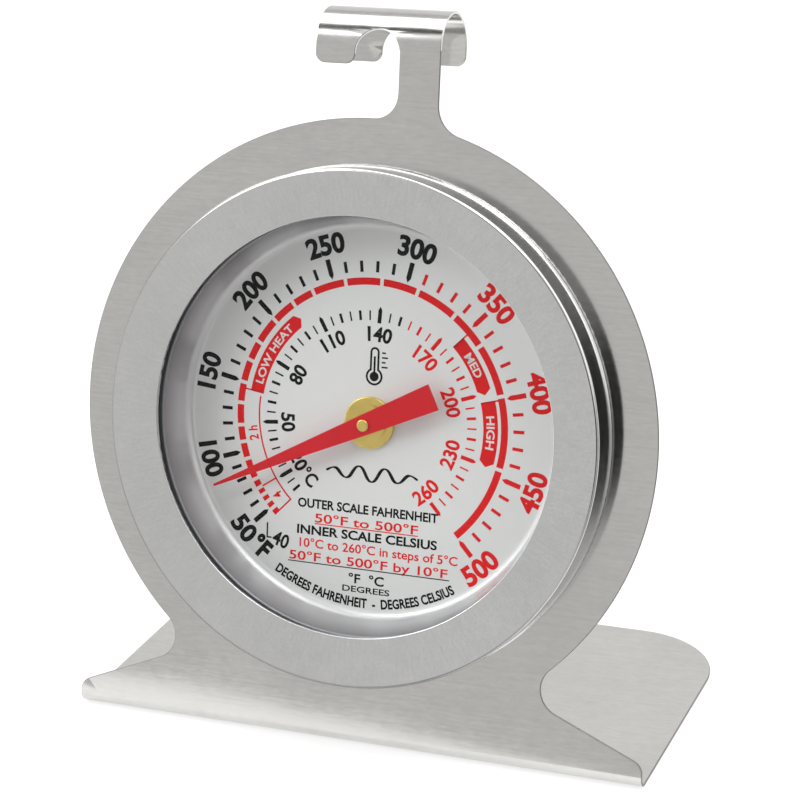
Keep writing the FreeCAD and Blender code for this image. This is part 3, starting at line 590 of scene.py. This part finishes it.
def brass(name, rough=0.22):
    m = Mat(name)
    m.set(Metallic=1.0)
    mp = m.coords(None, scale=(1, 1, 1))
    n = m.noise(mp, 900.0, 4.0, 0.6)
    n2 = m.noise(mp, 160.0, 2.0, 0.5)
    mx = mixed(m, n, "Fac", n2, "Fac", 0.5)
    col = m.ramp(mx, 0, [(0.3, (0.70, 0.50, 0.13, 1)), (0.55, (0.84, 0.64, 0.20, 1)), (0.8, (0.90, 0.73, 0.30, 1))])
    m.link(col, "Color", m.b, "Base Color")
    rr = m.maprange(mx, 0, 0.2, 0.8, rough - 0.07, rough + 0.08)
    m.link(rr, "Result", m.b, "Roughness")
    bp = m.bump(n, "Fac", 0.35, 0.00001)
    m.link(bp, "Normal", m.b, "Normal")
    return m


M_BRASS = brass("brass_turned")


def paint(name, rgb, rough=0.38, coat=0.0, spec=0.25):
    m = Mat(name)
    mp = m.coords(None)
    n = m.noise(mp, 1500.0, 3.0, 0.55)
    n2 = m.noise(mp, 300.0, 2.0, 0.5)
    mx = mixed(m, n, "Fac", n2, "Fac", 0.5)
    b = np.array(rgb)
    col = m.ramp(mx, 0, [(0.3, tuple(b * 0.9) + (1,)), (0.6, tuple(b) + (1,)), (0.85, tuple(np.minimum(1, b * 1.1 + 0.01)) + (1,))])
    m.link(col, "Color", m.b, "Base Color")
    rr = m.maprange(mx, 0, 0.2, 0.8, rough - 0.05, rough + 0.07)
    m.link(rr, "Result", m.b, "Roughness")
    m.b.inputs["Specular IOR Level"].default_value = spec
    m.b.inputs["Coat Weight"].default_value = coat
    m.b.inputs["Coat Roughness"].default_value = 0.2
    bp = m.bump(n, "Fac", 0.2, 0.000004)
    m.link(bp, "Normal", m.b, "Normal")
    return m


M_RED = paint("pointer_paint", srgb(212, 30, 40)[:3], 0.42, 0.0, 0.2)
M_INK_BLACK = paint("ink_black", (0.006, 0.006, 0.007), 0.5, 0.0, 0.1)
M_INK_RED = paint("ink_red", srgb(232, 30, 34)[:3], 0.5, 0.0, 0.1)
M_INK_WHITE = paint("ink_white", (0.80, 0.80, 0.80), 0.5, 0.0)
M_STEELPIN = steel("staff_ground", (0.50, 0.50, 0.51), 0.25, uv=None, along=(1, 1, 1), grain=300.0, grain_bump=0.000004)
M_RIVET = steel("rivet_alu", (0.66, 0.66, 0.67), 0.35, uv=None, along=(1, 1, 1), grain=200.0, grain_bump=0.00001)
M_COIL = steel("coil_bimetal", (0.50, 0.44, 0.37), 0.35, uv=None, along=(1, 1, 1), grain=300.0, grain_bump=0.00001)


def glass():
    m = Mat("clear_glass")
    m.t.nodes.remove(m.b)
    tr = m.node("ShaderNodeBsdfTransparent")
    tr.inputs["Color"].default_value = (0.985, 0.99, 0.988, 1)
    gl = m.node("ShaderNodeBsdfGlossy")
    gl.inputs["Roughness"].default_value = 0.03
    gl.inputs["Color"].default_value = (1, 1, 1, 1)
    # reflection rises towards a grazing view, alike on both sides of the pane
    lw = m.node("ShaderNodeLayerWeight")
    lw.inputs["Blend"].default_value = 0.5
    pw = m.node("ShaderNodeMath", operation="POWER")
    m.t.links.new(lw.outputs["Facing"], pw.inputs[0])
    pw.inputs[1].default_value = 5.0
    fr = m.node("ShaderNodeMath", operation="MULTIPLY_ADD")
    m.t.links.new(pw.outputs[0], fr.inputs[0])
    fr.inputs[1].default_value = 0.95
    fr.inputs[2].default_value = 0.008
    mx = m.node("ShaderNodeMixShader")
    m.t.links.new(fr.outputs[0], mx.inputs[0])
    m.t.links.new(tr.outputs[0], mx.inputs[1])
    m.t.links.new(gl.outputs[0], mx.inputs[2])
    m.t.links.new(mx.outputs[0], m.out.inputs["Surface"])
    return m


M_GLASS = glass()

# ------------------------------------------------------------------ build the metal
build_stand(M_STAND, M_EDGE_SHADE)


def bezel_form(i, r, y, a):
    # fine crimp marks along the lower edge of the rolled bead; brow and opening sit a little off centre
    if y > -0.5 and r > 32.3:
        return r - 0.05 * (0.5 + 0.5 * math.cos(a * 170)), y
    if r < 28.0:
        return r + 0.20 * math.sin(a) + 0.28 * math.cos(a), y
    if r < 32.3 and y < -4.9:
        return r + 0.06 * math.sin(a) + 0.04 * math.cos(a), y
    return r, y


bezel_profile = rounded([
    (26.15, -4.67, 0.10), (32.17, -5.45, 0.4), (32.2, -0.62, 0.04),
    (32.4, -0.5, 0.05), (32.42, -0.2, 0.1), (32.25, -0.06, 0.05),
    (31.95, -0.06, 0.03), (31.93, -4.95, 0.2), (26.45, -4.28, 0.05), (26.45, -4.22, 0.05), (26.15, -4.22, 0.08)])
lathe("bezel_shell", bezel_profile, [M_BEZEL], segs=600, replaces=("bezel_ring",), wobble=bezel_form)

lathe("lens_pane", rounded([(0, -4.2), (31.3, -4.2, 0.2), (31.3, -2.4, 0.2), (0, -2.4)]), [M_GLASS], segs=192, replaces=("lens_glass",), closed=False)

pan = rounded([(2.0, 2.73, 0.05), (25.1, 2.73, 1.4), (26.2, -2.38, 0.35), (31.3, -2.38, 0.08), (31.3, -1.93, 0.08), (26.65, -1.93, 0.3), (25.55, 3.18, 1.85), (2.0, 3.18, 0.05)])
wall_from = next(i for i, (r, y) in enumerate(pan) if r > 24.3)
lathe("dial_pan", pan, [M_DIAL, M_DIALWALL], segs=384, replaces=("dial_plate",), mat_of=lambda i: 0 if (i < wall_from) else 1)


# ------------------------------------------------------------------ pointer group
def flat_piece(name, outline, y0, y1, mats, edge=0.05, body="case", slot=None, replaces=(), turn=0.0, hole=None):
    """A flat plate: closed (x, z) outline between two depths, edges rounded by a bevel modifier."""
    bm = bmesh.new()
    ca, sa = math.cos(math.radians(turn)), math.sin(math.radians(turn))
    P = [(x * ca + z * sa, -x * sa + z * ca) for x, z in outline]
    lo = [bm.verts.new(world((x, y0, z))[0]) for x, z in P]
    hi = [bm.verts.new(world((x, y1, z))[0]) for x, z in P]
    n = len(P)
    bm.faces.new(lo)
    bm.faces.new(hi[::-1])
    for i in range(n):
        j = (i + 1) % n
        bm.faces.new((lo[i], hi[i], hi[j], lo[j]))
    ob = finish_mesh(name, bm, mats, body=body, replaces=replaces, weighted=False)
    if edge:
        bv = ob.modifiers.new("edges", "BEVEL")
        bv.width = edge * 0.001
        bv.segments = 3
        bv.limit_method = "ANGLE"
        bv.angle_limit = math.radians(50)
        w = ob.modifiers.new("weighted", "WEIGHTED_NORMAL")
    return ob


for name, mat in (("pointer", M_RED), ("pointer_rivet", M_BRASS), ("pointer_hub", M_BRASS), ("pointer_staff", M_STEELPIN),
                  ("coil_arbor", M_BRASS), ("bimetal_coil", M_COIL), ("dial_bush", M_BRASS), ("bush_nut", M_BRASS),
                  ("rear_bearing", M_BRASS), ("coil_anchor_post", M_BRASS), ("case_rivets", M_RIVET), ("spacer_ring", M_SPACER),
                  ("case_cup", M_CASE)):
    ob = nodes[name]
    ob.data.materials.clear()
    ob.data.materials.append(mat.m)

# ------------------------------------------------------------------ the printing on the dial
FACE = 2.73
SPR = 0.87      # glyphs are drawn this much narrower than the built-in font


def polar(r, ang):
    a = math.radians(ang)
    return (r * math.sin(a), r * math.cos(a))


class Ink:
    """Thin raised printing: closed islands in one mesh, all of one colour."""

    def __init__(self, front=0.014, back=-0.006):
        self.bm = bmesh.new()
        self.y0, self.y1 = FACE - front, FACE - back

    def mesh(self, P, faces):
        P = np.asarray(P, float)
        fr = [self.bm.verts.new(p) for p in world(np.stack([P[:, 0], np.full(len(P), self.y0), P[:, 1]], 1))]
        bk = [self.bm.verts.new(p) for p in world(np.stack([P[:, 0], np.full(len(P), self.y1), P[:, 1]], 1))]
        count = {}
        for f in faces:
            for a, b in zip(f, list(f[1:]) + [f[0]]):
                count[(a, b)] = count.get((a, b), 0) + 1
        for f in faces:
            self.bm.faces.new([fr[i] for i in f])
            self.bm.faces.new([bk[i] for i in reversed(f)])
        for (a, b), k in count.items():
            if (b, a) not in count:
                self.bm.faces.new((fr[b], fr[a], bk[a], bk[b]))

    def poly(self, pts):
        self.mesh(pts, [list(range(len(pts)))])

    def radial(self, ang, r0, r1, w, point=0.0, tip_in=False, tip_out=False):
        c, s = math.cos(math.radians(ang)), math.sin(math.radians(ang))
        h = w / 2
        pts = [(-h, r0 + (point if tip_in else 0))]
        if tip_in:
            pts.append((0, r0))
        pts.append((h, r0 + (point if tip_in else 0)))
        pts.append((h, r1 - (point if tip_out else 0)))
        if tip_out:
            pts.append((0, r1))
        pts.append((-h, r1 - (point if tip_out else 0)))
        self.poly([(u * c + v * s, -u * s + v * c) for u, v in pts])

    def arc(self, r0, r1, a0, a1, point=0.0, step=2.0):
        """Ring segment; point > 0 draws an arrow end reaching that many degrees past a1."""
        k = max(1, int(abs(a1 - a0) / step))
        A = [a0 + (a1 - a0) * j / k for j in range(k + 1)]
        P = [polar(r1, a) for a in A] + [polar(r0, a) for a in A]
        F = [[j, j + 1, k + 1 + j + 1, k + 1 + j] for j in range(k)]
        if point:
            P.append(polar((r0 + r1) / 2, a1 + point))
            F.append([k, 2 * k + 2, 2 * k + 1])
        self.mesh(P, F)

    def bar(self, x0, x1, z, w):
        self.poly([(x0, z - w / 2), (x1, z - w / 2), (x1, z + w / 2), (x0, z + w / 2)])

    def done(self, name, mat):
        return finish_mesh(name, self.bm, [mat], smooth=False, weighted=False)


GLYPHS = {}


def glyphs(text, bold):
    """Outline text as a flat mesh at font size 1, centred across: points and faces."""
    key = (text, bold)
    if key in GLYPHS:
        return GLYPHS[key]
    cu = bpy.data.curves.new("txt", "FONT")
    cu.body = text
    cu.size = 1.0
    cu.offset = bold
    cu.resolution_u = 4
    cu.align_x = "CENTER"
    cu.fill_mode = "FRONT"
    ob = bpy.data.objects.new("txt", cu)
    scene.collection.objects.link(ob)
    dg = bpy.context.evaluated_depsgraph_get()
    ev = ob.evaluated_get(dg)
    me = ev.to_mesh()
    bm = bmesh.new()
    bm.from_mesh(me)
    ev.to_mesh_clear()
    bmesh.ops.remove_doubles(bm, verts=bm.verts, dist=1e-5)
    bmesh.ops.dissolve_degenerate(bm, dist=1e-5, edges=bm.edges)
    bm.verts.ensure_lookup_table()
    P = np.array([v.co[:2] for v in bm.verts])
    F = []
    for f in bm.faces:
        idx = [v.index for v in f.verts]
        q = P[idx]
        area2 = sum(q[i][0] * q[(i + 1) % len(q)][1] - q[(i + 1) % len(q)][0] * q[i][1] for i in range(len(q)))
        if abs(area2) < 1e-9:
            continue
        F.append(idx if area2 > 0 else idx[::-1])
    bm.free()
    bpy.data.objects.remove(ob)
    bpy.data.curves.remove(cu)
    GLYPHS[key] = (P, F)
    return GLYPHS[key]


CAP = None


def sized(text, cap, bold, sx=None):
    """Points in mm: capital height cap, centred on the middle of the capitals."""
    global CAP
    if CAP is None:
        P, _ = glyphs("H", 0.0)
        CAP = (P[:, 1].min(), P[:, 1].max())
    P, F = glyphs(text, bold)
    k = cap / (CAP[1] - CAP[0])
    Q = P.copy()
    Q[:, 1] -= (CAP[0] + CAP[1]) / 2
    Q *= k
    Q[:, 0] *= SPR if sx is None else sx
    Q[:, 0] -= (Q[:, 0].min() + Q[:, 0].max()) / 2
    return Q, F


def curved(ink, text, r, ang, cap, bold=0.02, outward=True, sx=None, spread=None):
    """Text bent round the dial's axis at radius r, centred on an angle."""
    Q, F = sized(text, cap, bold, sx)
    if spread:
        Q[:, 0] *= math.radians(spread) * r / (Q[:, 0].max() - Q[:, 0].min())
    out = []
    for u, v in Q:
        if outward:
            out.append(polar(r + v, ang + math.degrees(u / r)))
        else:
            out.append(polar(r - v, ang - math.degrees(u / r)))
    # the mapping keeps orientation for the outward case and for the inward case alike
    ink.mesh(out, F)


def straight(ink, text, x, z, cap, bold=0.015, width=None, sx=None, turn=0.0):
    Q, F = sized(text, cap, bold, sx)
    if width:
        Q[:, 0] *= width / (Q[:, 0].max() - Q[:, 0].min())
    c, s = math.cos(math.radians(turn)), math.sin(math.radians(turn))
    ink.mesh([(x + u * c - v * s, z + u * s + v * c) for u, v in Q], F)


black, red, white = Ink(), Ink(), Ink(front=0.022, back=-0.002)

# Fahrenheit scale
F_MAJOR = [(50, -133.2), (100, -107.8), (150, -78.5), (200, -48.2), (250, -18.2), (300, 13.2), (350, 44.5), (400, 75.0), (450, 106.7), (500, 137.5)]
for i, (val, ang) in enumerate(F_MAJOR):
    ink = black if val <= 300 else red
    ink.radial(ang, 18.45, 21.0, 0.62, 0.55, tip_in=True)
    if i < len(F_MAJOR) - 1:
        nxt = F_MAJOR[i + 1][1]
        for j in range(1, 5):
            a = ang + (nxt - ang) * j / 5
            (black if val < 300 else red).radial(a, 18.9, 20.3, 0.42)
    curved(ink, str(val), 22.8, ang + {50: 0.4, 100: 0, 150: 0, 200: 0.3, 250: 0.6, 300: 0.4, 350: 0, 400: 0, 450: 0, 500: 0}[val],
           2.35, 0.038, outward=val not in (50, 100, 450, 500), sx=1.0)
curved(black, "°F", 22.7, -141.0, 2.35, 0.045, outward=False)

# Celsius scale
C_MAJOR = [(20, -124.5), (50, -95.5), (80, -63.2), (110, -30.0), (140, 3.2), (170, 38.2), (200, 71.2), (230, 104.0), (260, 137.5)]
first = C_MAJOR[0][1] - (C_MAJOR[1][1] - C_MAJOR[0][1]) / 3
for i, (val, ang) in enumerate(C_MAJOR):
    ink = black if val <= 150 else red
    ink.radial(ang, 12.6, 14.7, 0.5, 0.45, tip_out=True)
    if i < len(C_MAJOR) - 1:
        nxt = C_MAJOR[i + 1][1]
        for j in range(1, 6):
            a = ang + (nxt - ang) * j / 6
            v = val + 5 * j
            (black if v <= 150 else red).radial(a, 12.9, 14.1, 0.34 if v % 10 == 0 else 0.2)
black.radial(first, 12.9, 14.1, 0.34)
black.radial((first + C_MAJOR[0][1]) / 2, 12.9, 14.1, 0.2)
for txt, ang, out in (("20", -121.8, False), ("50", -95.7, False), ("80", -63.0, True), ("110", -28.5, True), ("140", 4.3, True),
                      ("170", 38.8, True), ("200", 71.5, True), ("230", 105.0, False), ("260", 136.0, False)):
    curved(black if int(txt) <= 150 else red, txt, 11.2, ang, 1.72, 0.03, outward=out, sx=0.97)
curved(black, "°C", 11.2, -134.5, 1.72, 0.024, outward=False)

# red ring between the scales, broken by short gaps
ring_gaps = [-133.9, -130.5, -127.2, -123.9, -120, -115.7, -111, -103.8, -96.8, -87.5, -78.8, -69.1, -60.5, -48.9, -37.9, -27.9, -13,
             2.75, 18.4, 36.25, 52.1, 73.75, 103.5]
edges_ = [-136.8]
for g in ring_gaps:
    edges_ += [g - 0.75, g + 0.75]
edges_.append(137.5)
for a0, a1 in zip(edges_[::2], edges_[1::2]):
    red.arc(17.3, 18.2, a0, a1)

# three heat zones, with plain generic words
for a0, a1, r0, r1, word, span in ((-81.5, -41.2, 14.8, 16.6, "LOW HEAT", 32.0), (45.0, 69.4, 14.9, 16.7, "MED", 11.5), (74.8, 102.1, 15.0, 16.9, "HIGH", 15.0)):
    red.arc(r0, r1, a0, a1, point=2.4)
    red.radial(a0 + 0.35, r0, 17.35, 0.2)
    curved(white, word, (r0 + r1) / 2, (a0 + a1) / 2 + 0.4, 1.0, 0.022, spread=span)
red.arc(15.05, 15.25, -136.5, -83.0)
red.radial(-136.5, 15.05, 17.35, 0.2)
red.radial(-124.0, 15.05, 17.35, 0.2)
curved(red, "2 h", 16.15, -100.5, 1.2, 0.02)
curved(red, "4", 16.2, -131.0, 1.2, 0.02)
black.poly([(-13.62, -14.35), (-13.42, -14.35), (-13.42, -16.15), (-12.9, -16.15), (-12.9, -16.35), (-13.62, -16.35)])
straight(black, "40", -11.6, -16.4, 1.75, 0.024, turn=-18)

# a small plain thermometer sign above the centre
cx, cz = 0.3, 7.2
stem_o = [(cx + 0.62 * math.cos(t), cz + 1.75 + 0.62 * math.sin(t)) for t in np.linspace(0, math.pi, 13)]
bulb_o = [(cx + 1.12 * math.cos(t), cz - 1.35 + 1.12 * math.sin(t)) for t in np.linspace(math.pi - 0.98, 2 * math.pi + 0.98, 33)]
stem_i = [(cx + 0.36 * math.cos(t), cz + 1.75 + 0.36 * math.sin(t)) for t in np.linspace(0, math.pi, 13)]
bulb_i = [(cx + 0.86 * math.cos(t), cz - 1.35 + 0.86 * math.sin(t)) for t in np.linspace(math.pi - 1.14, 2 * math.pi + 1.14, 33)]
loop_o, loop_i = stem_o + bulb_o, stem_i + bulb_i
n_ = len(loop_o)
black.mesh(loop_o + loop_i, [[i, (i + 1) % n_, n_ + (i + 1) % n_, n_ + i] for i in range(n_)])
black.poly([(cx + 0.6 * math.cos(t), cz - 1.35 + 0.6 * math.sin(t)) for t in np.linspace(0, 2 * math.pi, 24, endpoint=False)])
black.poly([(cx - 0.13, cz - 0.9), (cx + 0.13, cz - 0.9), (cx + 0.13, cz + 1.2), (cx - 0.13, cz + 1.2)])
for k_, zz in enumerate((cz - 0.1, cz + 0.5, cz + 1.1, cz + 1.7)):
    black.bar(cx + 0.95, cx + (1.75 if k_ % 2 == 0 else 1.45), zz, 0.2)

# a plain wave rule below the centre
wave_n = 72
top_, bot_ = [], []
for i in range(wave_n + 1):
    u = i / wave_n
    x = -5.7 + 12.4 * u
    z = -6.6 + 0.95 * math.sin(2 * math.pi * 3.5 * u) * math.sin(math.pi * u) ** 0.6
    w = 0.10 + 0.34 * (0.5 + 0.5 * math.cos(2 * math.pi * 7 * u)) * math.sin(math.pi * u) ** 0.5
    top_.append((x, z + w))
    bot_.append((x, z - w))
black.mesh(top_ + bot_, [[i + 1, i, wave_n + 1 + i, wave_n + 2 + i] for i in range(wave_n)])

# plain lines about the two scales
straight(black, "OUTER SCALE FAHRENHEIT", 0.1, -11.2, 1.1, 0.028, width=19.0)
straight(red, "50°F to 500°F", 0.0, -13.0, 1.1, 0.014, width=14.0)
red.bar(-7.0, 7.0, -13.75, 0.13)
straight(black, "INNER SCALE CELSIUS", 0.1, -14.65, 1.1, 0.028, width=19.0)
straight(red, "10°C to 260°C in steps of 5°C", 1.7, -16.35, 1.1, 0.014, width=21.4)
straight(red, "50°F to 500°F by 10°F", 0.4, -18.1, 1.1, 0.014, width=21.5)
black.bar(-10.5, 11.4, -18.9, 0.13)
straight(black, "°F  °C", 0.3, -20.2, 1.15, 0.022, width=4.8)
straight(black, "DEGREES", 0.3, -21.55, 0.75, 0.016, width=6.4)
curved(black, "DEGREES FAHRENHEIT  -  DEGREES CELSIUS", 23.25, 180.0, 1.15, 0.034, outward=False, spread=62.0)

black.done("print_black", M_INK_BLACK)
red.done("print_red", M_INK_RED)
white.done("print_white", M_INK_WHITE)

# ------------------------------------------------------------------ floor, light and camera
fl = bpy.data.meshes.new("floor")
fl.from_pydata([(-5, -2.0678, 0), (5, 1.9837, 0), (5, 7, 0), (-5, 7, 0)], [], [(0, 1, 2, 3)])
floor = bpy.data.objects.new("floor", fl)
scene.collection.objects.link(floor)
M_FLOOR = Mat("floor_white")
M_FLOOR.set(Roughness=0.9)
M_FLOOR.b.inputs["Emission Color"].default_value = (1, 1, 1, 1)
M_FLOOR.b.inputs["Emission Strength"].default_value = 0.66
M_FLOOR.b.inputs["Base Color"].default_value = (0.36, 0.36, 0.36, 1)
fl.materials.append(M_FLOOR.m)
floor.location.z = -0.0001

CAM = Matrix((
    (0.93124736, -0.09881236, 0.35073419, 0.11539414306),
    (0.36300579, 0.33531860, -0.86936082, -0.28476834078),
    (-0.03170411, 0.93690851, 0.34813402, 0.15381733177),
    (0, 0, 0, 1)))
cam_data = bpy.data.cameras.new("camera")
cam_data.lens = 115.1851
cam_data.sensor_width = 36
cam_data.clip_start = 0.01
cam_data.clip_end = 50
cam = bpy.data.objects.new("camera", cam_data)
scene.collection.objects.link(cam)
cam.matrix_world = CAM
scene.camera = cam


def area(name, loc, target, size, power, size_y=None, color=(1, 1, 1)):
    l = bpy.data.lights.new(name, "AREA")
    l.shape = "RECTANGLE"
    l.size = size
    l.size_y = size_y or size
    l.energy = power
    l.color = color
    o = bpy.data.objects.new(name, l)
    scene.collection.objects.link(o)
    o.location = loc
    d = Vector(target) - Vector(loc)
    o.rotation_euler = d.to_track_quat("-Z", "Y").to_euler()
    return o


target_ = world((0.0, 2.0, 0.0))[0]


def from_side(name, az, el, dist, size, power):
    a, e = math.radians(az), math.radians(el)
    d = Vector((math.sin(a) * math.cos(e), -math.cos(a) * math.cos(e), math.sin(e)))
    return area(name, Vector(target_) + d * dist, target_, size, power)


from_side("softbox_right", 45.0, 66.0, 1.1, 0.6, 3.0)
from_side("softbox_left", -50.0, 35.0, 1.1, 0.55, 3.4)

world_ = bpy.data.worlds.new("studio")
world_.use_nodes = True
wt = world_.node_tree
bg = wt.nodes["Background"]
tc = wt.nodes.new("ShaderNodeTexCoord")
xyz = wt.nodes.new("ShaderNodeSeparateXYZ")
wt.links.new(tc.outputs["Generated"], xyz.inputs[0])


def math_node(op, a, b=None):
    n = wt.nodes.new("ShaderNodeMath")
    n.operation = op
    for i, v in enumerate((a, b)):
        if v is None:
            continue
        if isinstance(v, (int, float)):
            n.inputs[i].default_value = v
        else:
            wt.links.new(v, n.inputs[i])
    return n.outputs[0]


def step(value, lo, hi):
    m = wt.nodes.new("ShaderNodeMapRange")
    m.interpolation_type = "SMOOTHSTEP"
    m.inputs["From Min"].default_value = lo
    m.inputs["From Max"].default_value = hi
    wt.links.new(value, m.inputs["Value"])
    return m.outputs["Result"]


def window(value, lo, hi, soft):
    return math_node("MULTIPLY", step(value, lo - soft, lo + soft), math_node("SUBTRACT", 1.0, step(value, hi - soft, hi + soft)))


def lobe(az, el, inner, outer):
    """1 inside `inner` degrees of a direction (azimuth from the front towards the right), falling to 0 at `outer`."""
    a, e = math.radians(az), math.radians(el)
    v = wt.nodes.new("ShaderNodeVectorMath")
    v.operation = "DOT_PRODUCT"
    wt.links.new(tc.outputs["Generated"], v.inputs[0])
    v.inputs[1].default_value = (math.sin(a) * math.cos(e), -math.cos(a) * math.cos(e), math.sin(e))
    return step(v.outputs["Value"], math.cos(math.radians(outer)), math.cos(math.radians(inner)))


def over(prev, mask, value):
    n = wt.nodes.new("ShaderNodeMix")
    n.data_type = "FLOAT"
    wt.links.new(mask, n.inputs[0])
    if isinstance(prev, (int, float)):
        n.inputs[2].default_value = prev
    else:
        wt.links.new(prev, n.inputs[2])
    n.inputs[3].default_value = value
    return n.outputs[0]


# pitch: 0 at the front horizon, 90 overhead, 180 at the back; az: 0 in front, 90 to the right
pitch = math_node("MULTIPLY", math_node("ARCTAN2", xyz.outputs["Z"], math_node("MULTIPLY", xyz.outputs["Y"], -1.0)), 180 / math.pi)
azim = math_node("MULTIPLY", math_node("ARCTAN2", xyz.outputs["X"], math_node("MULTIPLY", xyz.outputs["Y"], -1.0)), 180 / math.pi)
elev = math_node("MULTIPLY", math_node("ARCSINE", xyz.outputs["Z"]), 180 / math.pi)
lvl = over(0.64, window(pitch, 42, 56, 5), 1.05)
lvl = over(lvl, window(pitch, 58, 75, 2), 0.05)
lvl = over(lvl, window(pitch, 76, 115, 2), 2.6)
lvl = over(lvl, window(pitch, 115, 137, 3), 0.62)
lvl = over(lvl, window(pitch, 137, 165, 4), 0.84)
lvl = over(lvl, math_node("ADD", step(pitch, 161, 169), math_node("SUBTRACT", 1.0, step(pitch, -170, -160))), 0.98)
lvl = over(lvl, lobe(-70, 8, 18, 34), 1.6)
lvl = over(lvl, math_node("MULTIPLY", window(azim, 31, 120, 3), window(elev, -30, 8, 5)), 0.42)
lvl = over(lvl, lobe(62, 27, 12, 26), 1.0)
lvl = over(lvl, lobe(6, 29, 10, 22), 0.28)
lvl = over(lvl, lobe(18, 6, 10, 20), 0.0)
bg.inputs["Color"].default_value = (1, 0.995, 0.985, 1)
wt.links.new(lvl, bg.inputs["Strength"])
scene.world = world_
scene.view_settings.view_transform = "Standard"
